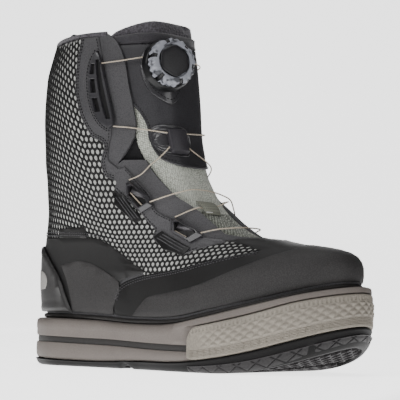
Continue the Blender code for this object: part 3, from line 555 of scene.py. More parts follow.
@dataclass(frozen=True)
class Finish:
    """One real material: its colours, gloss and grain."""

    name: str
    colour: str
    second: str
    rough: float
    grain: Grain
    size_mm: float
    depth_mm: float
    share: float = 0.5
    sheen: float = 0.0
    coat: float = 0.0
    uv: bool = False
    shine: float = 0.30

    def build(self) -> bpy.types.Material:
        """Make the material, once.

        Returns:
            The material.
        """
        known = bpy.data.materials.get(self.name)
        if known:
            return known
        made = bpy.data.materials.new(self.name)
        made.use_nodes = True
        made.diffuse_color = linear(self.colour)
        shader = made.node_tree.nodes["Principled BSDF"]
        shader.inputs["Sheen Weight"].default_value = self.sheen
        shader.inputs["Coat Weight"].default_value = self.coat
        shader.inputs["Specular IOR Level"].default_value = self.shine
        coords = add_node(made, "ShaderNodeTexCoord").outputs["UV" if self.uv else "Object"]
        height, pick = self.relief(made, coords)
        broad = add_node(made, "ShaderNodeTexNoise",
                         {"Vector": coords, "Scale": 28.0, "Detail": 4.0, "Roughness": 0.6})
        tint = add_node(made, "ShaderNodeMix",
                        {0: pick, 6: linear(self.colour), 7: linear(self.second)},
                        data_type="RGBA")
        worn = add_node(made, "ShaderNodeHueSaturation", {"Color": tint.outputs[2]})
        value = remap(made, broad.outputs["Fac"], (0.3, 0.7), (0.90, 1.10))
        gloss = remap(made, broad.outputs["Fac"], (0.3, 0.7),
                      (self.rough - 0.06, min(1.0, self.rough + 0.06)))
        bump = add_node(made, "ShaderNodeBump", {"Height": height, "Strength": 1.0,
                                                 "Distance": self.depth_mm * MM})
        links = made.node_tree.links
        links.new(value, worn.inputs["Value"])
        links.new(worn.outputs["Color"], shader.inputs["Base Color"])
        links.new(gloss, shader.inputs["Roughness"])
        links.new(bump.outputs["Normal"], shader.inputs["Normal"])
        return made

    def relief(self, made: bpy.types.Material, coords: bpy.types.NodeSocket) -> tuple:
        """Add the nodes of the grain.

        Args:
            made: The material.
            coords: Coordinates in metres.

        Returns:
            Sockets of the height and of the mix between the two colours.
        """
        scale = 1.0 / (self.size_mm * MM)
        if self.grain is Grain.WOVEN:
            waves = [add_node(made, "ShaderNodeTexWave",
                              {"Vector": coords, "Scale": scale / 2.0 * math.pi / 10.0,
                               "Distortion": 1.5, "Detail": 2.0, "Detail Scale": 2.0},
                              bands_direction=way).outputs["Fac"] for way in ("X", "Y")]
            height = compute(made, "MULTIPLY", *waves)
            return height, height
        if self.grain in (Grain.KNIT, Grain.HIDE):
            cells = add_node(made, "ShaderNodeTexVoronoi",
                             {"Vector": coords, "Scale": scale, "Randomness":
                              0.35 if self.grain is Grain.KNIT else 1.0})
            low = self.share - 0.25
            ramp = remap(made, cells.outputs["Distance"], (low, low + 0.4),
                         interpolation_type="SMOOTHSTEP")
            return compute(made, "SUBTRACT", 1.0, ramp), ramp
        stretch = coords
        if self.grain is Grain.CABLE:
            stretch = add_node(made, "ShaderNodeMapping", {"Vector": coords, "Scale": (1, 1, 2.5)}
                               ).outputs["Vector"]
        noise = add_node(made, "ShaderNodeTexNoise",
                         {"Vector": stretch, "Scale": scale,
                          "Detail": 3.0 if self.grain is Grain.MOULDED else 1.5})
        narrow = 0.04 if self.grain is Grain.BLOTCHED else 0.14
        height = noise.outputs["Fac"]
        return height, remap(made, height, (self.share - narrow, self.share + narrow))


# Carbon rubber of the tread: dense black, satin where the mould was smooth
TREAD_RUBBER = Finish("moulded carbon rubber", "0b0a0b", "111010", 0.55, Grain.MOULDED, 1.2, 0.05,
                      shine=0.15)
# The same rubber on the blocks that touch the ground, greyer and dull from grinding
BLOCK_RUBBER = Finish("ground carbon rubber", "1a1819", "262425", 0.70, Grain.MOULDED, 1.5, 0.10,
                      shine=0.2)
# Sawn edge of the forefoot's tread
SIDE_RUBBER = Finish("sawn carbon rubber", "1a1819", "242223", 0.55, Grain.MOULDED, 1.5, 0.06)
# Taupe foam: a soft even skin with faint pores
MIDSOLE_FOAM = Finish("moulded polyurethane foam", "625b57", "69635e", 0.62, Grain.MOULDED,
                      0.9, 0.04)
# Khaki rubber of the wrap: chalky, with the mould's relief in the mesh
WRAP_RUBBER = Finish("moulded khaki rubber", "7a746b", "878177", 0.75, Grain.MOULDED, 1.0, 0.05)
STRIPE_RUBBER = Finish("dark rubber inlay", "2a2827", "232120", 0.55, Grain.MOULDED, 1.0, 0.03)
# Rand: thin rubber film with an even matte face
RAND_FILM = Finish("matte rubber film", "141313", "191818", 0.52, Grain.MOULDED, 0.8, 0.04)
# Abrasion coat: grit in a dark binder, grains of about 0.8 mm
ABRASION_COAT = Finish("grit abrasion coat", "2b2a2a", "383636", 0.62, Grain.SPECKLED, 0.8, 0.05,
                       share=0.52)
# Heel counter: thermoplastic with a slight polish
COUNTER_PLASTIC = Finish("moulded thermoplastic", "282727", "2e2d2d", 0.46, Grain.MOULDED,
                         1.2, 0.04)
COUNTER_PATCH = Finish("pale moulded plastic", "8f8d89", "858380", 0.5, Grain.MOULDED, 1.2, 0.03)
# Eyestay and flap: polyurethane leather with a fine pebble
EYESTAY_HIDE = Finish("coated synthetic leather", "4b4a4c", "403f41", 0.52, Grain.HIDE,
                      0.9, 0.05, share=0.6)
# Flap's colour; also painted on the wall's ground towards the heel as shade
FLAP_HIDE_AND_HEEL_SHADE = Finish("brushed synthetic leather and painted heel shade", "4b4a4c", "3f3e40", 0.62, Grain.HIDE, 0.8, 0.04,
                   share=0.6)
TONGUE_HIDE = Finish("smooth synthetic leather", "333235", "2c2b2e", 0.50, Grain.HIDE, 0.9, 0.03,
                     share=0.6)
PIPING_HIDE = Finish("polished leather piping", "39383b", "323134", 0.36, Grain.HIDE, 0.9, 0.02,
                     shine=0.5)
# Net over a pale backing: knitted black strands, shiny light cloth behind; towards the heel the
# strands' black fills the holes as painted shade
NET_STRAND_AND_HEEL_SHADE = Finish("knitted black net and painted heel shade", "0e0e0e", "181718", 0.62, Grain.MOULDED, 0.8, 0.06)
NET_BACKING = Finish("pale knitted backing", "bdbdba", "a6a6a3", 0.55, Grain.MOULDED, 1.0, 0.05,
                     sheen=0.2)
# Tongue: grey-green spacer mesh, its 1.6 mm holes drawn at about 2 mm
TONGUE_MESH = Finish("spacer mesh", "c6c8be", "8d9086", 0.85, Grain.KNIT, 1.9, 0.25,
                     share=0.50, sheen=0.2, uv=True)
OPEN_MESH = Finish("open spacer mesh", "a5a89c", "4b4e46", 0.85, Grain.KNIT, 2.8, 0.5,
                   share=0.42, sheen=0.2, uv=True)
WEBBING = Finish("woven nylon webbing", "2c2b2d", "3b3a3d", 0.80, Grain.WOVEN, 1.2, 0.15,
                 sheen=0.2, uv=True)
RIM_CLOTH = Finish("boucle knit binding", "3a373b", "57545a", 0.92, Grain.SPECKLED, 1.5, 0.6,
                   sheen=0.3)
KEEPER_WEB = Finish("woven olive webbing", "7d7e73", "55564e", 0.85, Grain.WOVEN, 1.0, 0.15,
                    uv=True)
LINING = Finish("brushed lining cloth", "38363a", "2f2d31", 0.95, Grain.SPECKLED, 1.2, 0.2,
                sheen=0.4)
GUSSET_CLOTH = Finish("black stretch cloth", "111012", "19181a", 0.9, Grain.SPECKLED, 1.0, 0.1)
INSOLE_CLOTH = Finish("knitted insole cloth", "2d2d30", "3a3a3d", 0.92, Grain.KNIT, 1.6, 0.15)
# Guides and dial: glass-filled nylon, black, with a low polish on its ribs
GUIDE_NYLON = Finish("moulded black nylon", "2a292c", "353437", 0.30, Grain.MOULDED, 0.9, 0.03,
                     coat=0.3, shine=0.5)
BLOCK_NYLON = Finish("satin grey nylon", "353337", "2f2d31", 0.42, Grain.MOULDED, 0.9, 0.03)
HOUSING_NYLON = Finish("polished black nylon", "0e0e10", "151517", 0.36, Grain.MOULDED, 1.0,
                       0.02)
# Cap's black; also painted on the ring's notches as their shade
CAP_NYLON_AND_NOTCH_SHADE = Finish("satin black nylon and painted notch shade", "19181a", "201f22", 0.38, Grain.MOULDED, 1.0, 0.02)
# Dial ring: grey nylon with dark swirls, about 6 mm each
DIAL_NYLON = Finish("swirled grey nylon", "8f9199", "4a4b50", 0.42, Grain.BLOTCHED, 6.0, 0.02,
                    share=0.58)
THREAD = Finish("bonded polyester thread", "0f0f10", "1c1b1d", 0.70, Grain.CABLE, 0.6, 0.05)
GREY_THREAD = Finish("grey polyester thread", "464548", "38373a", 0.60, Grain.CABLE, 0.6, 0.05)
PALE_THREAD = Finish("pale bar tack thread", "d8d8d4", "c6c6c2", 0.70, Grain.CABLE, 0.6, 0.05)
# Lace: steel cable under tan nylon
CABLE = Finish("nylon coated cable", "c3b7a6", "9c8f7e", 0.38, Grain.CABLE, 0.8, 0.08)
# Pads in the guides' windows; near-black for the ribbed plates, also painted as shade on sheets
# under the slots and windows
PAD_NYLON = Finish("satin nylon pad", "4a484b", "403e41", 0.34, Grain.MOULDED, 0.9, 0.02,
                   shine=0.5)
PLATE_NYLON_AND_SLOT_SHADE = Finish("black plate nylon and painted slot shade", "0c0b0c", "131213", 0.40, Grain.MOULDED, 1.0, 0.02)


def alone(piece: bpy.types.Object) -> None:
    """Select one object and nothing else."""
    if bpy.context.mode != "OBJECT":
        bpy.ops.object.mode_set(mode="OBJECT")
    for other in bpy.context.selected_objects:
        other.select_set(False)
    piece.select_set(True)
    bpy.context.view_layer.objects.active = piece


def points_of(piece: bpy.types.Object) -> Array:
    """All points of a mesh as rows."""
    rows = np.empty(len(piece.data.vertices) * 3)
    piece.data.vertices.foreach_get("co", rows)
    return rows.reshape(-1, 3)


def chart_of(piece: bpy.types.Object) -> Array:
    """Chart points of a flat pattern piece."""
    return points_of(piece)[:, :2] / (TURN_SCALE, RISE_SCALE)


def set_points(piece: bpy.types.Object, rows: Array) -> None:
    """Move all points of a mesh."""
    piece.data.vertices.foreach_set("co", np.ascontiguousarray(rows, float).ravel())
    piece.data.update()


def write_uv(piece: bpy.types.Object, flat: Array) -> None:
    """Give a mesh a UV map from one pair of lengths for each point."""
    layer = piece.data.uv_layers.new(name="lengths")
    index = np.empty(len(piece.data.loops), int)
    piece.data.loops.foreach_get("vertex_index", index)
    layer.data.foreach_set("uv", flat[index].ravel())


def mesh_object(name: str, points: Sequence, faces: Sequence,
                edges: Sequence = ()) -> bpy.types.Object:
    """Object made from points and faces.

    Args:
        name: The object's name.
        points: Places in metres.
        faces: Point numbers of each face.
        edges: Point numbers of each loose edge.

    Returns:
        The object.
    """
    mesh = bpy.data.meshes.new(name)
    mesh.from_pydata(points, list(edges), faces)
    piece = bpy.data.objects.new(name, mesh)
    bpy.context.scene.collection.objects.link(piece)
    return piece


def mend(piece: bpy.types.Object, merge: float = 0.0, fill: bool = False,
         outwards: bool = True) -> bpy.types.Object:
    """Merge points, close holes and turn the faces outwards.

    Args:
        piece: The object.
        merge: Distance within which points become one, if over 0.
        fill: Whether its holes are closed.
        outwards: Whether its faces are turned outwards.

    Returns:
        The same object.
    """
    alone(piece)
    bpy.ops.object.mode_set(mode="EDIT")
    bpy.ops.mesh.select_all(action="SELECT")
    if merge > 0.0:
        bpy.ops.mesh.remove_doubles(threshold=merge)
        bpy.ops.mesh.select_all(action="SELECT")
    if fill:
        bpy.ops.mesh.fill_holes(sides=0)
    if outwards:
        bpy.ops.mesh.normals_make_consistent(inside=False)
    bpy.ops.object.mode_set(mode="OBJECT")
    return piece


def paint(piece: bpy.types.Object, *finishes: Finish) -> None:
    """Give a piece its materials in order."""
    for one in finishes:
        piece.data.materials.append(one.build())


def apply_modifier(piece: bpy.types.Object, kind: str, **settings: object) -> None:
    """Add a modifier and apply it.

    Args:
        piece: The object.
        kind: The modifier's type.
        settings: Its settings.
    """
    alone(piece)
    added = piece.modifiers.new(kind.lower(), kind)
    for name, value in settings.items():
        setattr(added, name, value)
    bpy.ops.object.modifier_apply(modifier=added.name)


def finish(piece: bpy.types.Object, finish_of: Finish, nodes: Sequence[str] = (),
           smooth: float = 40.0) -> bpy.types.Object:
    """Dress a piece and hand it to the frame.

    Args:
        piece: The object.
        finish_of: Its first material.
        nodes: CAD nodes that it stands for.
        smooth: Angle in degrees up to which edges are smooth.

    Returns:
        The same object.
    """
    alone(piece)
    bpy.ops.object.shade_smooth_by_angle(angle=math.radians(smooth))
    if piece.data.materials:
        piece.data.materials[0] = finish_of.build()
    else:
        paint(piece, finish_of)
    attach(piece, "root")
    if nodes:
        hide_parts(*nodes)
    log.info("%s: %d faces", piece.name, len(piece.data.polygons))
    return piece


def cut_pattern(name: str, outlines: Sequence[Array], pitch: float,
                rolls: Sequence[float] = ()) -> bpy.types.Object:
    """Flat pattern piece: outlines filled, rimmed and cut along a grid.

    Args:
        name: The object's name.
        outlines: The outer outline and any windows, as chart points.
        pitch: Spacing of the grid in metres.
        rolls: Widths of the rings inside the rim, in metres.

    Returns:
        An object with chart points, scaled to metres, in its mesh.
    """
    points, edges = [], []
    for outline in outlines:
        first = len(points)
        rows = np.asarray(outline)[:, :2] * (TURN_SCALE, RISE_SCALE)
        points += [(x, y, 0.0) for x, y in rows]
        count = len(rows)
        edges += [(first + k, first + (k + 1) % count) for k in range(count)]
    piece = mesh_object(name, points, [], edges)
    alone(piece)
    bpy.ops.object.mode_set(mode="EDIT")
    bpy.ops.mesh.select_mode(type="VERT")
    bpy.ops.mesh.select_all(action="SELECT")
    if len(outlines) == 1:
        bpy.ops.mesh.edge_face_add()
    else:
        bpy.ops.mesh.fill(use_beauty=True)
    bpy.ops.mesh.normals_make_consistent(inside=False)
    for width in rolls:
        bpy.ops.mesh.inset(thickness=width, use_boundary=True)
    spots = np.array(points)
    for axis, normal in ((0, (1.0, 0.0, 0.0)), (1, (0.0, 1.0, 0.0))):
        low, high = spots[:, axis].min(), spots[:, axis].max()
        for value in np.arange(math.ceil(low / pitch), high / pitch) * pitch:
            bpy.ops.mesh.select_all(action="SELECT")
            place = (value, 0.0, 0.0) if axis == 0 else (0.0, value, 0.0)
            bpy.ops.mesh.bisect(plane_co=place, plane_no=normal, threshold=1e-6)
    bpy.ops.mesh.select_all(action="SELECT")
    bpy.ops.mesh.remove_doubles(threshold=pitch * 0.06)
    bpy.ops.object.mode_set(mode="OBJECT")
    if len(piece.data.polygons) and np.mean([p.normal.z for p in piece.data.polygons]) < 0:
        bpy.ops.object.mode_set(mode="EDIT")
        bpy.ops.mesh.select_all(action="SELECT")
        bpy.ops.mesh.flip_normals()
        bpy.ops.object.mode_set(mode="OBJECT")
    return piece


Height = Callable[[Array, Array], Array]


def panel(name: str, outline: Outline, low: float, thick: float, roll: float = 0.0009,
          pitch: float = 0.0035, windows: Sequence[Outline] = (), relief: Height | None = None,
          shell: float = 0.0003, step: float = 0.0022, corner: float = 55.0) -> bpy.types.Object:
    """Panel on the last, with rolled edges.

    Args:
        name: The object's name.
        outline: Closed outline on the chart.
        low: Height of its underside over the last.
        thick: Thickness.
        roll: Width over which the edge rolls down.
        pitch: Spacing of its mesh.
        windows: Openings in it.
        relief: Further height at chart points, given their distance from the rim.
        shell: Wall of the formed sheet.
        step: Spacing of the outline's points.
        corner: Angle past which an outline point stays a corner.

    Returns:
        The object.
    """
    curves = [smooth_line(line, step, closed=True, corner=corner) for line in (outline, *windows)]
    piece = cut_pattern(name, curves, pitch, (roll * 0.3, roll * 0.5))
    flat = chart_of(piece)
    gap = rim_distance(flat, curves)
    height = shell + (thick - shell) * rolled(gap, roll)
    if relief is not None:
        height = height + relief(flat, gap)
    set_points(piece, on_last(flat, low + height))
    write_uv(piece, lengths_of(flat))
    apply_modifier(piece, "SOLIDIFY", thickness=shell, offset=-1.0)
    return piece


def shaped_grid(name: str, across: int, up: int, form: Callable[[Array, Array], Array],
                closed: bool = False, uv: Callable | None = None) -> bpy.types.Object:
    """Grid primitive moved point by point onto a form.

    Args:
        name: The object's name.
        across: Faces along u.
        up: Faces along v.
        form: Maps u and v, 0 to 1, to points.
        closed: Whether u comes back to its start.
        uv: Maps u and v to lengths, if the piece needs a UV map.

    Returns:
        The object.
    """
    bpy.ops.mesh.primitive_grid_add(x_subdivisions=across, y_subdivisions=up, size=2.0)
    piece = bpy.context.active_object
    piece.name = piece.data.name = name
    rows = (points_of(piece) + 1.0) / 2.0
    while piece.data.uv_layers:
        piece.data.uv_layers.remove(piece.data.uv_layers[0])
    if uv is not None:
        write_uv(piece, np.column_stack(uv(rows[:, 0], rows[:, 1])))
    set_points(piece, form(rows[:, 0], rows[:, 1]))
    return mend(piece, merge=SAME) if closed else piece


def tube(name: str, path: Array, radius: float, sides: int = 10) -> bpy.types.Object:
    """Round bar along a path, with closed ends.

    Args:
        name: The object's name.
        path: Points in metres.
        radius: Its radius.
        sides: Faces round it.

    Returns:
        The object.
    """
    curve = bpy.data.curves.new(name, "CURVE")
    curve.dimensions = "3D"
    curve.bevel_depth = radius
    curve.bevel_resolution = max(0, (sides - 4) // 2)
    curve.use_fill_caps = True
    line = curve.splines.new("POLY")
    line.points.add(len(path) - 1)
    for point, place in zip(line.points, path):
        point.co = (*place, 1.0)
    piece = bpy.data.objects.new(name, curve)
    bpy.context.scene.collection.objects.link(piece)
    alone(piece)
    bpy.ops.object.convert(target="MESH")
    return bpy.context.active_object


class Sewing:
    """Stitches, each a short thread, gathered into one piece."""

    def __init__(self, name: str, finish_of: Finish = THREAD, width: float = 0.00055) -> None:
        """Model one stitch.

        Args:
            name: The piece's name.
            finish_of: The thread.
            width: The thread's width.
        """
        self.name, self.width, self.thread = name, width, finish_of
        bpy.ops.mesh.primitive_uv_sphere_add(segments=6, ring_count=4, radius=1.0)
        model = bpy.context.active_object
        self.model = points_of(model)[:, [2, 0, 1]]
        self.faces = [tuple(p.vertices) for p in model.data.polygons]
        bpy.data.objects.remove(model, do_unlink=True)
        self.points: list[Array] = []

    def row(self, line: Outline, lift: float, pitch: float = 0.0026, long: float = 0.0019,
            closed: bool = False, within: Outline | None = None) -> None:
        """Sew along a line of the chart.

        Args:
            line: Points (turn, rise).
            lift: Height over the last.
            pitch: From one stitch to the next.
            long: Length of a stitch.
            closed: Whether the line comes back to its start.
            within: Outline that the stitches keep to.
        """
        fine = smooth_line(line, 0.001, closed=closed)
        if closed:
            fine = np.vstack([fine, fine[:1]])
        spots = on_last(fine, lift)
        run = run_along(spots)
        for start in np.arange(pitch / 2.0, run[-1] - pitch / 2.0, pitch):
            middle, ahead = (np.array([np.interp(at, run, spots[:, k]) for k in range(3)])
                             for at in (start, start + pitch * 0.2))
            u, w = (np.interp(start, run, fine[:, k]) for k in range(2))
            if within is not None and not inside(np.array([(u, w)]), np.array(within))[0]:
                continue
            out = unit(LAST.place(u, w, lift + MM) - LAST.place(u, w, lift))
            way = unit(ahead - middle)
            side = np.cross(out, way)
            frame_of = np.array([way * long / 2.0, side * self.width / 2.0, out * self.width / 2.0])
            self.points.append(middle + self.model @ frame_of)

    def finish(self, slot: str) -> bpy.types.Object:
        """Join all stitches into one piece.


        Returns:
            The object.
        """
        count = len(self.model)
        faces = [tuple(v + k * count for v in face)
                 for k in range(len(self.points)) for face in self.faces]
        piece = mesh_object(self.name, np.vstack(self.points).tolist(), faces)
        return finish(piece, self.thread, smooth=80.0)


@dataclass
class Sole:
    """Outsole, midsole, forefoot wrap, welt and insole."""

    points: int = 220
    wrap_start: float = 0.645
    wrap_proud: float = 0.0010
    wrap_thick: float = 0.0030
    groove: float = 0.0014
    block: float = 0.0085
    block_gap: float = 0.0011
    block_high: float = 0.0022
    # Sawn edge of the tread: rows in front and behind, share of the side, rim, face, saw cuts
    side_rows: int = 28
    side_back: int = 4
    side_reach: float = 0.60
    side_rim: float = 0.0008
    side_proud: float = 0.0006
    side_deep: float = 0.0016
    saw_long: float = 0.0150
    saw_tall: float = 0.0100
    # Wrap: rows in front and behind, corner, rounded rim, and the relief in its face
    wrap_rows: int = 64
    wrap_back: int = 6
    wrap_corner: float = 0.0085
    wrap_rim: float = 0.0012
    tick_pitch: float = 0.0033
    tick_deep: float = 0.0006
    diamond_long: float = 0.0086
    diamond_tall: float = 0.0060
    diamond_high: float = 0.0011
    knurl_pitch: float = 0.0022
    knurl_high: float = 0.00055
    STRIPE = [(0.0, 0.0246), (0.11, 0.0243), (0.23, 0.0235), (0.36, 0.0227), (0.51, 0.0209),
              (0.66, 0.0203)]
    STRIPE_HIGH = 0.0048
    # Shares of the length with no blocks, under the arch
    ARCH = (0.375, 0.450)
    # Channel across the forefoot: share of the length, slope and half width
    CHANNEL = (0.845, 0.35, 0.0050)

    def __post_init__(self) -> None:
        """Work out the sole's outline."""
        rows = np.array(Last.SOLE_PLAN) * (LAST.length, LAST.ball_width)
        count = len(rows)
        dense = []
        for k in range(count):
            p = [rows[(k + j) % count] for j in (-1, 0, 1, 2)]
            reach = [math.sqrt(np.linalg.norm(p[j + 1] - p[j])) for j in range(3)]
            first = (p[2] - p[1]) + reach[1] * (
                (p[1] - p[0]) / reach[0] - (p[2] - p[0]) / (reach[0] + reach[1]))
            last = (p[2] - p[1]) + reach[1] * (
                (p[3] - p[2]) / reach[2] - (p[3] - p[1]) / (reach[1] + reach[2]))
            dense += [hermite(t / 24.0, 1.0, (p[1], p[2]), (first, last)) for t in range(24)]
        self.curve = np.array(dense + [dense[0]])
        self.run = run_along(self.curve)
        arcs = np.linspace(0.0, 1.0, 4001)
        ahead = arcs[self.edge(arcs)[:, 0] > self.wrap_start * LAST.length]
        self.wrap_arcs = ahead[0], ahead[-1]
        self.wrap_long = (ahead[-1] - ahead[0]) * self.run[-1]

    def edge(self, arc: Array, out: Array = 0.0) -> Array:
        """Points of the outline.

        Args:
            arc: Way round it, 0 at the heel to 1.
            out: Metres outside it.

        Returns:
            x from the back of the sole, and y.
        """
        def at(way: Array) -> Array:
            """Outline point at a length."""
            way = np.mod(way, self.run[-1])
            return np.column_stack([np.interp(way, self.run, self.curve[:, k]) for k in (0, 1)])

        way = np.asarray(arc, float) * self.run[-1]
        ahead = at(way + 0.002) - at(way - 0.002)
        normal = unit(np.column_stack([ahead[:, 1], -ahead[:, 0]]))
        return at(way) + normal * np.broadcast_to(out, way.shape)[:, None]

    def ring(self, arc: Array, inwards: Array, out: Array) -> Array:
        """Points between the sole's spine and its outline.

        Args:
            arc: Way round the outline.
            inwards: 1 on the outline, 0 on the spine.
            out: Metres outside the outline.

        Returns:
            x and y.
        """
        edge = self.edge(arc, out)
        spine_x = np.clip(edge[:, 0], 0.14 * LAST.length, 0.88 * LAST.length)
        spine = np.column_stack([spine_x, LAST.swing(spine_x)])
        return spine + (edge - spine) * np.asarray(inwards)[:, None]

    def slab(self, name: str, rows: Sequence[tuple]) -> bpy.types.Object:
        """Body of the sole from rings.

        Args:
            name: The object's name.
            rows: Inwards, out (metres or a function of share), height (a function of x).

        Returns:
            The object.
        """
        last = len(rows) - 1

        def form(u: Array, v: Array) -> Array:
            """Point of ring v at arc u."""
            result = np.zeros((len(u), 3))
            index = np.rint(v * last).astype(int)
            for k, (inwards, out, height) in enumerate(rows):
                pick = index == k
                arc = u[pick]
                share = self.edge(arc)[:, 0] / LAST.length
                step = out(share) if callable(out) else np.full(len(arc), out)
                flat = self.ring(arc, np.full(len(arc), inwards), step)
                result[pick] = in_frame(flat, height(flat[:, 0]))
            return result

        return mend(shaped_grid(name, self.points, last, form, closed=True), fill=True)

    def outsole(self) -> None:
        """Black rubber: a smooth side band with a lip, and a recessed bed for the blocks."""
        def bed(x: Array) -> Array:
            """Floor of the tread, between the blocks."""
            return LAST.tread(x) + self.block_high

        def level(share: float, lift: float = 0.0) -> Callable:
            """Height at a share of the outsole's side."""
            return lambda x: (LAST.tread(x) + share * (LAST.outsole_top(x) - LAST.tread(x)) + lift)

        rows = [(s, -0.010, bed) for s in (0.25, 0.5, 0.75, 0.92)]
        rows += [(1.0, -0.0078, bed), (1.0, -0.0070, level(0.0, 0.0006))]
        rows += [(1.0, out, level(share)) for out, share in (
            (-0.0066, 0.0), (-0.0050, 0.0), (-0.0040, 0.02), (-0.0022, 0.14), (-0.0010, 0.32),
            (-0.0003, 0.55), (0.0, 0.74), (0.0004, 0.80), (0.0008, 0.86), (0.0007, 0.92),
            (0.0001, 0.96))]
        rows += [(inwards, out, level(1.0, -FIT)) for inwards, out in (
            (1.0, -0.0016), (0.6, -0.002), (0.2, -0.002))]
        finish(self.slab("outsole_rubber", rows), TREAD_RUBBER, ("outsole",))

    def side_tread(self) -> None:
        """Edge of the forefoot's tread on the outsole's side: sawn blocks under a lip."""
        (first, last), total = self.wrap_arcs, self.wrap_long
        front, behind, reach = self.side_rows, self.side_back, self.side_reach

        def form(u: Array, v: Array) -> Array:
            """Face for the first rows, then the back."""
            index = v * (front + behind)
            share = np.clip(index / front, 0.0, 1.0)
            back = index > front
            share = np.where(
                back, 1.0 - np.clip((index - front - 1) / (behind - 1.0), 0.0, 1.0), share)
            way, arc = u * total, first + (last - first) * u
            x = self.edge(arc)[:, 0]
            low = LAST.tread(x)
            tall = LAST.outsole_top(x) - low
            level = 0.015 + share * (reach - 0.015)
            out = np.interp(level, (0.0, 0.02, 0.14, 0.32, 0.55, 0.74),
                            (-0.0050, -0.0040, -0.0022, -0.0010, -0.0003, 0.0))
            end = np.minimum(way, total - way)
            rim = np.clip(np.minimum(end, (1.0 - share) * tall * reach) / self.side_rim, 0.0, 1.0)
            a, b = way / self.saw_long, share * tall * reach / self.saw_tall
            saw = np.minimum(np.abs((a + b) % 1.0 - 0.5), np.abs((a - b) % 1.0 - 0.5))
            groove = (1.0 - ease(0.03, 0.09, saw)) * (1.0 - ease(0.80, 0.86, share))
            valley = swell(x / LAST.length, 0.940, 0.007)
            lip = 0.0007 * swell(share, 0.91, 0.05)
            proud = self.side_proud
            out = out + rim * (proud + lip - proud * groove - 0.0009 * valley)
            out = np.where(back, out - self.side_deep, out)
            return in_frame(self.edge(arc, out), low + tall * level)

        piece = shaped_grid("outsole_side_tread", 620, front + behind, form, closed=True)
        finish(mend(piece, fill=True), SIDE_RUBBER, smooth=40.0)

    def blocks(self) -> None:
        """Triangular tread blocks, each a tapered prism, with a channel across the forefoot."""
        bpy.ops.mesh.primitive_cylinder_add(vertices=3, radius=1.0, depth=1.0, end_fill_type="NGON")
        model = bpy.context.active_object
        alone(model)
        apply_modifier(model, "BEVEL", width=0.10, segments=1, limit_method="ANGLE")
        shape = points_of(model)
        faces = [tuple(p.vertices) for p in model.data.polygons]
        bpy.data.objects.remove(model, do_unlink=True)
        side = self.block
        high = side * math.sqrt(3.0) / 2.0
        reach = side / math.sqrt(3.0) - self.block_gap
        outline = self.edge(np.arange(160) / 160.0, -0.0076)
        hexagon = np.array([[math.cos(a), math.sin(a)] for a in np.arange(6) * math.pi / 3.0])
        channel, slope, half = self.CHANNEL
        points, polygons = [], []
        for row in range(-9, 10):
            for column in range(0, 76):
                way = 1.0 if (row + column) % 2 == 0 else -1.0
                y = row * high + (high / 6.0) * -way
                x = column * side / 2.0
                centre = np.array([[x, y]])
                if not inside(centre + reach * 0.8 * hexagon, outline).all():
                    continue
                if (self.ARCH[0] < x / LAST.length < self.ARCH[1]
                        or abs(x - channel * LAST.length - slope * y) < half):
                    continue
                turned = np.column_stack([-shape[:, 1] * way, shape[:, 0]])
                wide = reach * (1.0 - 0.10 * (0.5 - shape[:, 2]))
                flat = turned[:, [1, 0]] * wide[:, None] + centre
                z = LAST.tread(flat[:, 0]) + (shape[:, 2] + 0.5) * (self.block_high + 0.0006)
                first = sum(len(p) for p in points)
                points.append(in_frame(flat, z))
                polygons += [tuple(v + first for v in face) for face in faces]
        piece = mesh_object("tread_blocks", np.vstack(points).tolist(), polygons)
        finish(mend(piece), BLOCK_RUBBER, smooth=25.0)

    def midsole(self) -> None:
        """Taupe foam with a dark inlay round its side and a seat for the wrap."""
        def seat(share: Array) -> Array:
            """How far the side steps in behind the wrap."""
            return (self.wrap_thick - self.wrap_proud + FIT) * ease(
                self.wrap_start - 0.006, self.wrap_start + 0.004, share)

        def top(lift: float) -> Callable:
            """Height under the midsole's top."""
            return lambda x: LAST.sole_top(x) + lift

        def between(low: Callable, high: Callable, share: float) -> Callable:
            """Height between two curves."""
            return lambda x: low(x) + share * (high(x) - low(x))

        def stripe(x: Array) -> Array:
            """Top of the dark inlay, which dies into the wrap."""
            plain = along(self.STRIPE, np.minimum(x / LAST.length, 0.66))
            middle = LAST.outsole_top(x) + 0.45 * (LAST.sole_top(x) - LAST.outsole_top(x))
            return plain + (middle - plain) * ease(0.64, 0.72, x / LAST.length)

        def under(x: Array) -> Array:
            """Foot of the dark inlay."""
            return stripe(x) - self.STRIPE_HIGH

        def wrap_top(x: Array) -> Array:
            """Top of the wrap, or the inlay's top behind it."""
            share = x / LAST.length
            line = LAST.sole_height * along(Last.WRAP_TOP, np.maximum(share, 0.60)) + 0.0006
            return np.where(share > 0.60, np.maximum(line, stripe(x) + 0.002), stripe(x) + 0.006)

        def behind(out: float) -> Callable:
            """Place of the side, which steps in behind the wrap."""
            return lambda share: out - seat(share)

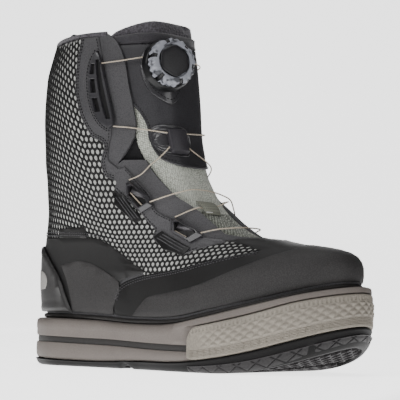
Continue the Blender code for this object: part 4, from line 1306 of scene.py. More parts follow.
        foot = LAST.outsole_top
        rows = [(0.3, -0.003, foot), (0.8, -0.003, foot), (1.0, behind(-0.0022), foot),
                (1.0, behind(-0.0006), between(foot, under, 0.07)),
                (1.0, behind(0.0002), between(foot, under, 0.25)),
                (1.0, behind(0.0004), between(foot, under, 0.60)),
                (1.0, behind(0.0002), between(foot, under, 0.90)),
                (1.0, behind(-0.0002), between(foot, under, 0.985)),
                (1.0, behind(-self.groove), under),
                (1.0, behind(-self.groove * 0.75), between(under, stripe, 0.5)),
                (1.0, behind(-self.groove), stripe),
                (1.0, behind(-0.0003), between(stripe, wrap_top, 0.06)),
                (1.0, behind(0.0001), between(stripe, wrap_top, 0.30)),
                (1.0, behind(0.0001), wrap_top),
                (1.0, 0.0003, between(wrap_top, top(0.0), 0.06)),
                (1.0, 0.0004, between(wrap_top, top(0.0), 0.45)),
                (1.0, 0.0000, between(wrap_top, top(0.0), 0.80)),
                (1.0, -0.0008, top(-0.0009)), (1.0, -0.0018, top(-0.0002))]
        rows += [(inwards, -0.0032, top(0.0)) for inwards in (1.0, 0.8, 0.3)]
        piece = self.slab("midsole_foam", rows)
        paint(piece, MIDSOLE_FOAM, STRIPE_RUBBER)
        for face in piece.data.polygons:
            x = face.center.x + LAST.heel_seat
            z = face.center.z
            low, high = under(np.array([x]))[0], stripe(np.array([x]))[0]
            if low - 0.0001 < z < high + 0.0001 and abs(face.normal.z) < 0.95:
                face.material_index = 1
        finish(piece, MIDSOLE_FOAM, ("midsole",), smooth=50.0)

    def wrap(self) -> None:
        """Khaki rubber round the forefoot, with ticks, diamonds and a knurl in its face."""
        (first, last), total = self.wrap_arcs, self.wrap_long
        front, behind = self.wrap_rows, self.wrap_back

        def form(u: Array, v: Array) -> Array:
            """Face for the first rows, then the back."""
            index = v * (front + behind)
            share = np.clip(index / front, 0.0, 1.0)
            way = u * total
            end = np.minimum(way, total - way)
            round_off = 1.0 - rolled(end, self.wrap_corner)
            arc = first + (last - first) * u
            x = self.edge(arc)[:, 0]
            low = LAST.outsole_top(x) + FIT + 0.003 * round_off
            high = LAST.sole_height * along(Last.WRAP_TOP, x / LAST.length) - 0.012 * round_off
            tall = high - low
            rim = np.minimum(np.minimum(share * tall, (1.0 - share) * tall), end + 0.0003)
            out = -0.0008 + (self.wrap_proud + 0.0010) * rolled(rim, self.wrap_rim)
            out = out + self.pattern(way, share * tall, tall) * np.clip(rim / 0.002, 0, 1)
            back = index > front
            share = np.where(back, 1.0 - np.clip((index - front - 1) / 4.0, 0.0, 1.0), share)
            out = np.where(back, -(self.wrap_thick - self.wrap_proud), out)
            return in_frame(self.edge(arc, out), low + tall * share)

        piece = shaped_grid("forefoot_wrap_rubber", 560, front + behind, form, closed=True)
        finish(mend(piece, fill=True), WRAP_RUBBER, ("forefoot_wrap",),
               smooth=70.0)

    def pattern(self, way: Array, high: Array, tall: Array) -> Array:
        """Relief of the wrap.

        Args:
            way: Metres along it.
            high: Metres above its lower edge.
            tall: Its height there.

        Returns:
            Metres out of its face.
        """
        from_end = np.minimum(way, self.wrap_long - way)
        below = tall - high
        ticks = (-self.tick_deep * (np.abs(below - 0.0032) < 0.0013)
                 * (np.cos(way * 2 * math.pi / self.tick_pitch) > 0.3))
        line = -self.tick_deep * swell(below, 0.0010, 0.0004)
        a, b = way / self.diamond_long, high / self.diamond_tall
        diamonds = self.diamond_high * np.abs(np.sin((a + b) * math.pi)
                                              * np.sin((a - b) * math.pi))
        zone = (ease(0.0080, 0.0092, high) * ease(0.0052, 0.0066, below)
                * ease(0.004, 0.030, from_end))
        fine = self.knurl_high * np.cos((way + high) * 2 * math.pi / self.knurl_pitch) * np.cos(
            (way - high) * 2 * math.pi / self.knurl_pitch)
        knurl = fine * ease(0.0010, 0.0018, high) * (1.0 - ease(0.0070, 0.0078, high))
        return ticks + line + diamonds * zone + knurl

    def welt(self) -> None:
        """Dark strip round the feather line."""
        def form(u: Array, v: Array) -> Array:
            """Point of the strip's round section."""
            turn = u * 2.0 - 1.0
            base = LAST.place(turn, 0.0, 0.0)
            out = LAST.place(turn, 0.03, MM) - LAST.place(turn, 0.03, 0.0)
            out[:, 2] = 0.0
            angle = v * 2.0 * math.pi
            spot = base + unit(out) * (0.0012 + 0.0016 * np.cos(angle))[:, None]
            seat = LAST.sole_top(spot[:, 0] + LAST.heel_seat)
            spot[:, 2] = seat + 0.0001 + 0.0018 * (1.0 + np.sin(angle))
            return spot

        piece = shaped_grid("welt_strip", 240, 12, form, closed=True)
        finish(piece, STRIPE_RUBBER, ("welt",), smooth=80.0)

    def insole(self) -> None:
        """Cloth-covered footbed with a soft edge and a shallow cup."""
        def form(u: Array, v: Array) -> Array:
            """Ring by ring from the middle of the underside to the middle of the top."""
            turn = u * 2.0
            edge = LAST.place(turn, 0.0, -(LAST.wall + 2 * FIT))
            flat = edge[:, :2] + (LAST.heel_seat, 0.0)
            spine_x = np.clip(flat[:, 0], 0.15 * LAST.length, 0.86 * LAST.length)
            spine = np.column_stack([spine_x, LAST.swing(spine_x)])
            index = np.rint(v * 14).astype(int)
            inwards = np.array([0.1, 0.5, 0.9, 0.985, 1.0, 1.0, 0.99, 0.965, 0.93, 0.8, 0.65, 0.5,
                                0.35, 0.2, 0.05])[index]
            lift = np.array([0, 0, 0, 0, 0.0006, 0.0028, 0.0037, 0.0040, 0.0040, 0.0036, 0.0033,
                             0.0031, 0.0030, 0.0030, 0.0030])[index]
            spot = spine + (flat - spine) * inwards[:, None]
            return in_frame(spot, LAST.sole_top(spot[:, 0]) + FIT + lift)

        piece = shaped_grid("insole_footbed", 160, 14, form, closed=True)
        finish(piece, INSOLE_CLOTH, ("insole",), smooth=60.0)

    def build(self) -> None:
        """Make every piece of the sole."""
        self.outsole()
        self.side_tread()
        self.blocks()
        self.midsole()
        self.wrap()
        self.welt()
        self.insole()


@dataclass
class Upper:
    """Wall, net, overlays, collar and pull loop."""

    cell_wide: float = 0.00495
    cell_tall: float = 0.00515
    strand: float = 0.0011
    pad: float = 0.0052
    # Painted shade: before this turn, towards the heel, the net's holes and ground are dark
    heel_shade_turn: float = 0.20
    hole_share: float = 0.360
    coat_thick: float = 0.0006
    collar_turn: float = 0.535
    collar_rise: float = 0.925
    collar_half: float = 0.083
    binding: float = 0.0021
    strap_half: float = 0.034
    strap_wide: float = 0.014
    strap_long: float = 0.080
    NET_TOP = 0.985
    # Outlines on the chart, of the lateral side or of the half before the front or the heel
    THROAT = [(1.0, 0.262), (0.90, 0.265), (0.80, 0.270), (0.745, 0.283), (0.752, 0.318),
              (0.745, 0.362), (0.722, 0.390), (0.688, 0.419), (0.651, 0.494), (0.637, 0.547),
              (0.577, 0.549), (0.561, 0.534), (0.625, 0.646), (0.625, 0.741), (0.617, 0.810),
              (0.606, 0.903), (0.585, 0.968), (0.560, 1.0)]
    EYESTAY = [(0.490, 0.992), (0.484, 0.915), (0.482, 0.808), (0.500, 0.715), (0.522, 0.635),
               (0.543, 0.610), (0.531, 0.551), (0.531, 0.492), (0.548, 0.478), (0.542, 0.446),
               (0.568, 0.375), (0.577, 0.322), (0.580, 0.309), (0.564, 0.274), (0.574, 0.246),
               (0.594, 0.219), (0.639, 0.236), (0.685, 0.247), (0.712, 0.252), (0.714, 0.262),
               (0.676, 0.274), (0.640, 0.330), (0.610, 0.364), (0.609, 0.396), (0.614, 0.425),
               (0.579, 0.524), (0.562, 0.520), (0.546, 0.556), (0.565, 0.657), (0.561, 0.780),
               (0.551, 0.907), (0.538, 0.992)]
    VAMP = [(0.413, 0.022), (0.413, 0.078), (0.425, 0.116), (0.454, 0.143), (0.514, 0.166),
            (0.619, 0.188), (0.682, 0.197), (0.748, 0.203), (0.745, 0.236), (0.722, 0.256),
            (0.760, 0.262), (0.80, 0.260), (0.90, 0.255), (1.0, 0.252)]
    QUARTER = [(0.003, 0.022), (0.409, 0.022), (0.409, 0.080), (0.420, 0.120), (0.450, 0.149),
               (0.509, 0.172), (0.494, 0.196), (0.476, 0.236), (0.454, 0.269), (0.428, 0.282),
               (0.300, 0.288), (0.182, 0.290), (0.003, 0.292)]
    COUNTER = [(0.290, 0.022), (0.272, 0.075), (0.242, 0.154), (0.195, 0.212), (0.136, 0.248),
               (0.060, 0.262)]
    INLAY = [(0.060, 0.095), (0.110, 0.100), (0.165, 0.105), (0.180, 0.130), (0.165, 0.160),
             (0.110, 0.172), (0.060, 0.175), (0.052, 0.135)]
    TAG = [(0.278, 0.286), (0.402, 0.282), (0.408, 0.322), (0.278, 0.320)]
    BACKSTAY = [(0.045, 0.298), (0.040, 0.600), (0.045, 0.970)]
    NET = [(0.040, 0.296), (0.040, 0.600), (0.045, 0.985), (0.490, 0.985), *EYESTAY[1:18],
           (0.720, 0.252), (0.745, 0.205), *VAMP[6:3:-1], *QUARTER[5:12]]
    COAT_QUARTER = [(0.259, 0.189), (0.300, 0.199), (0.345, 0.204), (0.375, 0.196),
                    (0.393, 0.183), (0.418, 0.158), (0.433, 0.135), (0.424, 0.090),
                    (0.413, 0.055), (0.411, 0.024), (0.300, 0.024), (0.285, 0.024),
                    (0.286, 0.060), (0.275, 0.130)]
    COAT_VAMP = [(0.456, 0.024), (0.475, 0.062), (0.499, 0.093), (0.545, 0.106), (0.599, 0.112),
                 (0.677, 0.141), (0.725, 0.158), (0.800, 0.178), (0.880, 0.193), (0.946, 0.202),
                 (1.0, 0.205)]

    def wall(self) -> None:
        """Hollow wall of the upper, coated outside, with a pale ground behind the net that is
        painted dark as shade towards the heel.
        """
        outline = [(0.0, 0.0), (1.0, 0.0), *self.THROAT, (0.0, 1.0)]
        curve = smooth_line(outline, 0.003, closed=True, corner=30.0)
        piece = cut_pattern("upper_wall", [curve], 0.0040)
        flat = chart_of(piece)
        faces = [tuple(p.vertices) for p in piece.data.polygons]
        count = len(flat)
        both = np.vstack([flat, flat * (-1.0, 1.0)])
        faces += [tuple(v + count for v in reversed(face)) for face in faces]
        bpy.data.objects.remove(piece, do_unlink=True)
        piece = mesh_object("upper_wall", on_last(both).tolist(), faces)
        write_uv(piece, lengths_of(both))
        middles = np.array([both[list(face)].mean(0) for face in faces])
        net = inside(np.abs(middles), np.array(self.NET))
        paint(piece, FLAP_HIDE_AND_HEEL_SHADE, NET_BACKING, LINING)
        # Painted shade: towards the heel the ground keeps the flap's dark colour
        net &= np.abs(middles[:, 0]) > self.heel_shade_turn
        for face, is_net in zip(piece.data.polygons, net):
            face.material_index = int(is_net)
        mend(piece, merge=1e-5, outwards=False)
        apply_modifier(piece, "SOLIDIFY", thickness=LAST.wall, offset=-1.0,
                       use_even_offset=True, material_offset=2, material_offset_rim=0)
        finish(piece, FLAP_HIDE_AND_HEEL_SHADE, ("upper",), smooth=60.0)

    def net(self, side: str) -> None:
        """Knitted net over one side: joined rings round pale holes, painted dark as shade towards
        the heel.

        Args:
            side: lateral or medial.
        """
        region = np.array(self.NET)
        s, t = lengths_of(region).T
        cells = np.array([
            (s0 + (row % 2) * self.cell_wide / 2.0, row * self.cell_tall)
            for row in range(int(t.min() / self.cell_tall), int(t.max() / self.cell_tall) + 2)
            for s0 in np.arange(0.0, s.max(), self.cell_wide)])
        chart = np.column_stack(ARCS.find(cells[:, 0], cells[:, 1], 0.3, 0.5))
        keep = inside(chart, region) | (rim_distance(chart, [region]) < 0.0022)
        keep &= chart[:, 1] < self.NET_TOP
        cells, chart = cells[keep & (chart[:, 0] > 0.02)], chart[keep & (chart[:, 0] > 0.02)]
        corners = np.array([(0.0, 0.6667), (0.5, 0.3333), (0.5, -0.3333), (0.0, -0.6667),
                            (-0.5, -0.3333), (-0.5, 0.3333)])
        outer = np.array([corners[k] + (corners[(k + 1) % 6] - corners[k]) * part
                          for k in range(6) for part in (0.0, 0.5)])
        outer = outer * (self.cell_wide, self.cell_tall)
        around = len(outer)
        angle = math.pi / 2.0 - np.arange(around) * math.pi / 6.0
        ring = np.column_stack([np.cos(angle), np.sin(angle) * 1.14])
        hole = self.cell_wide * self.hole_share
        layers = [(outer, self.strand), (ring * (hole + 0.00022), self.strand * 0.82),
                  (ring * hole, self.strand * 0.25), (ring * hole * 0.97, 0.00008)]
        flat = np.concatenate([cells[:, None, :] + offsets[None] for offsets, _ in layers],
                              1).reshape(-1, 2)
        heights = np.tile(np.repeat([height for _, height in layers], around), len(cells))
        near = np.repeat(chart, len(layers) * around, axis=0)
        u, w = ARCS.find(flat[:, 0], flat[:, 1], near[:, 0], near[:, 1])
        w = np.minimum(w, self.NET_TOP + 0.007)
        sign = -1 if side == "medial" else 1
        points = LAST.place(sign * u, w, heights)
        faces, kinds = [], []
        for k, place in enumerate(chart):
            low = k * len(layers) * around
            for _ in layers[1:]:
                high = low + around
                for j in range(around):
                    n = (j + 1) % around
                    faces.append([low + j, low + n, high + n, high + j][::sign])
                    kinds.append(0)
                low = high
            faces.append([low + j for j in range(around)][::sign])
            # Painted shade: holes towards the heel take the strands' black
            kinds.append(int(place[0] > self.heel_shade_turn))
        piece = mesh_object(f"net_{side}", points.tolist(), faces)
        paint(piece, NET_STRAND_AND_HEEL_SHADE, NET_BACKING)
        piece.data.polygons.foreach_set("material_index", kinds)
        mend(piece, merge=2e-5, outwards=False)
        finish(piece, NET_STRAND_AND_HEEL_SHADE, smooth=60.0)

    def overlays(self) -> None:
        """Rands, grit coats, eyestays, counter and backstay."""
        def crease(flat: Array, gap: Array) -> Array:
            """Groove beside the edge."""
            return -0.0004 * swell(gap, 0.0016, 0.0005)

        def coat(name: str, outline: Outline) -> None:
            """Grit coat on a rand."""
            finish(panel(name, outline, FIT + PANEL - 0.0002, self.coat_thick, roll=0.0005,
                         pitch=0.0050), ABRASION_COAT)

        finish(panel("vamp_rand_film", over_front(self.VAMP), FIT, PANEL, pitch=0.0050),
               RAND_FILM, ("vamp_rand",))
        coat("vamp_grit_coat", over_front(self.COAT_VAMP))
        for side, way in SIDES.items():
            finish(panel(f"quarter_rand_film_{side}", way(self.QUARTER), FIT, PANEL,
                         pitch=0.0050), RAND_FILM, (f"quarter_rand_{side}",))
            coat(f"quarter_grit_coat_{side}", way(self.COAT_QUARTER))
            finish(panel(f"eyestay_hide_{side}", way(self.EYESTAY), FIT, PANEL + 0.0001,
                         step=0.0016, relief=crease, pitch=0.0022),
                   EYESTAY_HIDE, (f"eyestay_{side}",))

        def ridge(flat: Array, gap: Array) -> Array:
            """Raised bead inside the edge and a sunk middle."""
            return 0.0007 * swell(gap, 0.0030, 0.0009) - 0.0005 * ease(0.0040, 0.0055, gap)

        piece = panel("heel_counter_shell", over_front(self.COUNTER), OVER + FIT, 0.0021,
                      roll=0.0014, relief=ridge, pitch=0.0030)
        finish(piece, COUNTER_PLASTIC, ("heel_counter",))
        for side, way in SIDES.items():
            finish(panel(f"counter_inlay_{side}", way(self.INLAY), OVER + FIT + 0.0012, 0.0007,
                         roll=0.0004), COUNTER_PATCH)
            finish(panel(f"side_tag_{side}", way(self.TAG), 0.0006, 0.0010, roll=0.0005,
                         step=0.004), RAND_FILM)
        finish(panel("backstay_webbing", over_front(self.BACKSTAY), FIT, PANEL),
               WEBBING, ("backstay",))

    def collar(self) -> None:
        """Padded collar and its knitted binding."""
        def squash(wave: Array) -> Array:
            """Sine or cosine of a section with flat sides."""
            return np.sign(wave) * np.abs(wave) ** 0.7

        def form(u: Array, v: Array) -> Array:
            """Section of the pad, closed round v, along the collar in u."""
            angle = v * 2.0 * math.pi
            off = (-(LAST.wall + FIT + self.pad / 2.0)
                   + self.pad / 2.0 * squash(np.cos(angle)))
            return LAST.place(-self.collar_turn + 2.0 * self.collar_turn * u,
                              self.collar_rise + self.collar_half * squash(np.sin(angle)), off)

        piece = mend(shaped_grid("collar_padding", 150, 28, form), merge=SAME, fill=True)
        finish(piece, LINING, ("collar_pad",), smooth=60.0)
        edge = LAST.place(np.linspace(-0.556, 0.556, 260), 1.0, -0.0007)
        finish(tube("collar_binding", edge, self.binding, 12), RIM_CLOTH, smooth=80.0)

    def pull_loop(self) -> None:
        """Webbing loop over the back of the collar."""
        outside, within = OVER + 0.0001, -(LAST.wall + 2 * FIT + self.pad)
        middle, half = (outside + within) / 2.0, (outside - within) / 2.0
        route = [(outside, 0.895), (outside, 0.95), (outside, 1.0)]
        route += [(middle + half * math.cos(a), 1.02 + 0.044 * math.sin(a))
                  for a in np.linspace(0.0, math.pi, 13)]
        route += [(within, 1.0), (within, 0.95), (within, 0.895)]
        rows = np.array(route)
        at = np.linspace(0.0, 1.0, len(rows))

        def form(u: Array, v: Array) -> Array:
            """Point of the strap."""
            off, rise = (np.interp(v, at, rows[:, k]) for k in (0, 1))
            return LAST.place(-self.strap_half + 2.0 * self.strap_half * u, rise, off)

        def lengths(u: Array, v: Array) -> tuple[Array, Array]:
            """Lengths on the strap."""
            return u * self.strap_wide, v * self.strap_long

        piece = shaped_grid("pull_strap", 8, 60, form, uv=lengths)
        apply_modifier(piece, "SOLIDIFY", thickness=0.0012, offset=0.0)
        apply_modifier(piece, "BEVEL", width=0.00035, segments=2, limit_method="ANGLE")
        finish(piece, WEBBING, ("pull_loop",), smooth=50.0)

    def seams(self) -> None:
        """Stitch rows of the upper."""
        rows = Sewing("upper_stitches", width=0.0008)
        low_rows = Sewing("rand_stitches", GREY_THREAD, width=0.0009)
        top = OVER - 0.0002
        for side in SIDES.values():
            for inset in (0.0022, 0.0044):
                upper_edge = beside(self.QUARTER[8:], -inset)
                low_rows.row(side(np.clip(upper_edge, 0.006, 1.0)[:, :2].tolist()), top)
            for part, inset in ((self.EYESTAY[:9], 0.0020), (self.EYESTAY[:9], 0.0038),
                                (self.EYESTAY[9:17], 0.0020), (self.EYESTAY[20:26], 0.0018),
                                (self.EYESTAY[27:], 0.0016)):
                rows.row(side(beside(part, inset).tolist()), top + 0.0001,
                         within=side(self.EYESTAY))
            for inset in (0.0020, 0.0042):
                low_rows.row(side(beside(self.VAMP[1:8], -inset).tolist()), top)
            for inset in (0.0016, 0.0032):
                rows.row(side(beside(Guides.TOP[:7], -inset).tolist()), top + 0.0001,
                         within=side(self.EYESTAY))
        rows.finish("upper")
        low_rows.finish("rand")

    def build(self) -> None:
        """Make every piece of the upper."""
        self.wall()
        for side in SIDES:
            self.net(side)
        self.overlays()
        self.collar()
        self.pull_loop()
        self.seams()


@dataclass
class Tongue:
    """Padded tongue with its panel, guide and keeper."""

    top: float = -0.0045
    thick: float = 0.0050
    panel_high: float = 0.0014
    flange: float = 0.0012
    block_high: float = 0.0050
    block_turn: float = 0.118
    keeper_wide: float = 0.012
    keeper_long: float = 0.020
    # Rises where the knitted band begins and where the open mesh ends
    BAND_RISE = 0.955
    OPEN_RISE = 0.37
    EDGE = [(0.80, 0.205), (0.70, 0.30), (0.62, 0.42), (0.575, 0.56), (0.555, 0.75),
            (0.545, 0.90), (0.548, 0.985), (0.586, 1.020), (0.697, 1.045), (0.854, 1.050)]
    PANEL_EDGE = [(0.58, 0.960), (0.575, 0.860), (0.600, 0.775), (0.624, 0.743),
                  (0.645, 0.714), (0.665, 0.670), (0.668, 0.620), (0.676, 0.582),
                  (0.700, 0.552), (0.760, 0.538), (0.880, 0.532)]
    GUIDE_FLANGE = [(0.665, 0.640), (0.690, 0.665), (0.750, 0.672), (0.930, 0.665),
                    (0.985, 0.640), (0.985, 0.590), (0.930, 0.566), (0.740, 0.566),
                    (0.690, 0.580), (0.668, 0.605)]
    # Block and keeper: turn and rise where they start, and their size in both
    BLOCK = (0.757, 0.570, 0.151, 0.087)
    KEEPER = (0.790, 0.368, 0.175, 0.042)
    GUSSET = [(0.545, 0.538), (0.566, 0.580), (0.619, 0.648), (0.621, 0.598), (0.630, 0.546),
              (0.582, 0.536)]
    DIAL_STITCH = [(0.676, 0.890), (0.685, 0.915), (0.712, 0.930), (0.800, 0.940),
                   (0.892, 0.930), (0.942, 0.888), (0.942, 0.845), (0.908, 0.795),
                   (0.824, 0.762), (0.758, 0.772), (0.706, 0.798), (0.680, 0.843)]

    def base(self) -> None:
        """Mesh-covered foam with a soft edge."""
        curve = smooth_line(over_front(self.EDGE), 0.003, closed=True)
        piece = cut_pattern("tongue_padding", [curve], 0.0045, (0.0006, 0.0010, 0.0016))
        flat = chart_of(piece)
        roll = rolled(rim_distance(flat, [curve]), 0.0030)
        middle = self.top - self.thick / 2.0
        half = self.thick / 2.0 * (0.12 + 0.88 * roll)
        count = len(flat)
        faces = [tuple(p.vertices) for p in piece.data.polygons]
        ring = {(a, b): None for face in faces for a, b in zip(face, face[1:] + face[:1])}
        walls = [(a + count, b + count, b, a) for a, b in ring if (b, a) not in ring]
        faces += [tuple(v + count for v in reversed(face)) for face in faces]
        faces += walls
        seam = 0.0007 * swell(flat[:, 1], 0.500, 0.004)
        band = 0.0010 * swell(flat[:, 1], 1.000, 0.006)
        outer = on_last(flat, middle + half - seam - band)
        inner = on_last(flat, middle - half)
        bpy.data.objects.remove(piece, do_unlink=True)
        piece = mesh_object("tongue_padding", np.vstack([outer, inner]).tolist(), faces)
        write_uv(piece, np.vstack([lengths_of(flat)] * 2))
        mend(piece)
        paint(piece, TONGUE_MESH, OPEN_MESH, RIM_CLOTH, LINING)
        rises = np.concatenate([flat[:, 1], flat[:, 1]])
        for face in piece.data.polygons:
            rise = rises[list(face.vertices)].mean()
            if min(face.vertices) >= count:
                face.material_index = 3
            elif rise > self.BAND_RISE:
                face.material_index = 2
            else:
                face.material_index = int(rise < self.OPEN_RISE)
        finish(piece, TONGUE_MESH, ("tongue",), smooth=70.0)

    def covers(self) -> None:
        """Smooth panel, its padded top band and the flange under the guide."""
        edge = over_front(self.PANEL_EDGE)

        def lip(flat: Array, gap: Array) -> Array:
            """Sunk line beside the lower edge."""
            low = 1.0 - ease(0.70, 0.78, flat[:, 1])
            return -0.0006 * swell(gap, 0.0036, 0.0006) * low

        piece = panel("tongue_panel_hide", edge, self.top + FIT, self.panel_high, relief=lip,
                      pitch=0.0032)
        finish(piece, TONGUE_HIDE, ("tongue_panel",))
        band = [(0.570, 0.962), (0.572, 0.992), (0.640, 1.000), (0.800, 1.004), (1.0, 1.004),
                (1.200, 1.004), (1.360, 1.000), (1.428, 0.992), (1.430, 0.962), (1.0, 0.968)]
        piece = panel("tongue_top_band", band, self.top + FIT, 0.0022, roll=0.0028)
        finish(piece, LINING)
        seat = self.top + 2 * FIT + self.panel_high

        def rings(flat: Array, gap: Array) -> Array:
            """Concentric grooves."""
            return -0.0003 * (1.0 - np.cos(gap * 2.0 * math.pi / 0.0024)) * (gap < 0.0060)

        piece = panel("guide_flange", self.GUIDE_FLANGE, seat, self.flange, roll=0.0004,
                      relief=rings, pitch=0.0006, step=0.0012)
        finish(piece, GUIDE_NYLON, ("tongue_guide_flange",))

    def guide(self) -> None:
        """Block on the tongue that turns the wire."""
        seat = self.top + 3 * FIT + self.panel_high + self.flange
        turn, rise, wide, tall = self.BLOCK

        def form(u: Array, v: Array) -> Array:
            """Rounded block, a little lower at its ends."""
            side = np.minimum(np.minimum(u, 1.0 - u) * wide * self.block_turn,
                              np.minimum(v, 1.0 - v) * tall * RISE_SCALE)
            high = self.block_high * rolled(side, 0.0016) - 0.0010 * ((v - 0.5) * 2.0) ** 2
            return LAST.place(turn + wide * u, rise + tall * v, seat + np.maximum(high, 0.0))

        piece = shaped_grid("guide_block", 30, 34, form)
        apply_modifier(piece, "SOLIDIFY", thickness=0.0004, offset=-1.0)
        finish(piece, BLOCK_NYLON, ("tongue_guide",), smooth=50.0)

    def gusset(self) -> None:
        """Dark stretch cloth between the tongue and the flap, in the notch."""
        for side, way in SIDES.items():
            piece = panel(f"gusset_{side}", way(self.GUSSET), self.top + FIT * 0.3, 0.0007,
                          roll=0.0006)
            finish(piece, GUSSET_CLOTH)

    def keeper(self) -> None:
        """Webbing bridge that holds the crossing wires."""
        turn, rise, wide, tall = self.KEEPER

        def form(u: Array, v: Array) -> Array:
            """Arched strap."""
            return LAST.place(turn + wide * u, rise + tall * v,
                              self.top + FIT + 0.00045 + 0.0030 * np.sin(math.pi * v) ** 0.7)

        def lengths(u: Array, v: Array) -> tuple[Array, Array]:
            """Lengths on the strap."""
            return u * self.keeper_long, v * self.keeper_wide

        piece = shaped_grid("keeper_webbing", 24, 20, form, uv=lengths)
        apply_modifier(piece, "SOLIDIFY", thickness=0.0009, offset=0.0)
        finish(piece, KEEPER_WEB, ("lace_keeper",), smooth=60.0)
        tack = Sewing("keeper_tack", PALE_THREAD, 0.0007)
        for level in (0.3700, 0.3735):
            tack.row([(0.800, level), (0.860, level)], self.top + 0.0022, 0.0008, 0.0016)
        tack.finish("keeper")

    def seams(self) -> None:
        """Stitch rows of the tongue."""
        rows = Sewing("tongue_stitches", width=0.0008)
        lift = self.top + FIT + self.panel_high - 0.0001
        edge = beside(self.PANEL_EDGE, 0.0020).tolist()
        rows.row(edge, lift)
        rows.row(other_side(edge), lift)
        seat = self.top + 2 * FIT + self.panel_high + self.flange
        rows.row([(0.660, 0.958), (0.760, 0.963), (0.860, 0.965), (0.960, 0.963)], lift)
        rows.row(self.DIAL_STITCH, seat, 0.0030, 0.0021, closed=True)
        rows.finish("tongue_panel")
        half = self.PANEL_EDGE[2:]
        flat = smooth_line(sorted(half + [(2.0 - u, w) for u, w in half]), 0.0015)
        piece = tube("panel_piping", on_last(flat, lift - 0.0002), 0.0009, 8)
        finish(piece, PIPING_HIDE, smooth=80.0)

    def build(self) -> None:
        """Make every piece of the tongue."""
        self.base()
        self.covers()
        self.guide()
        self.keeper()
        self.gusset()
        self.seams()


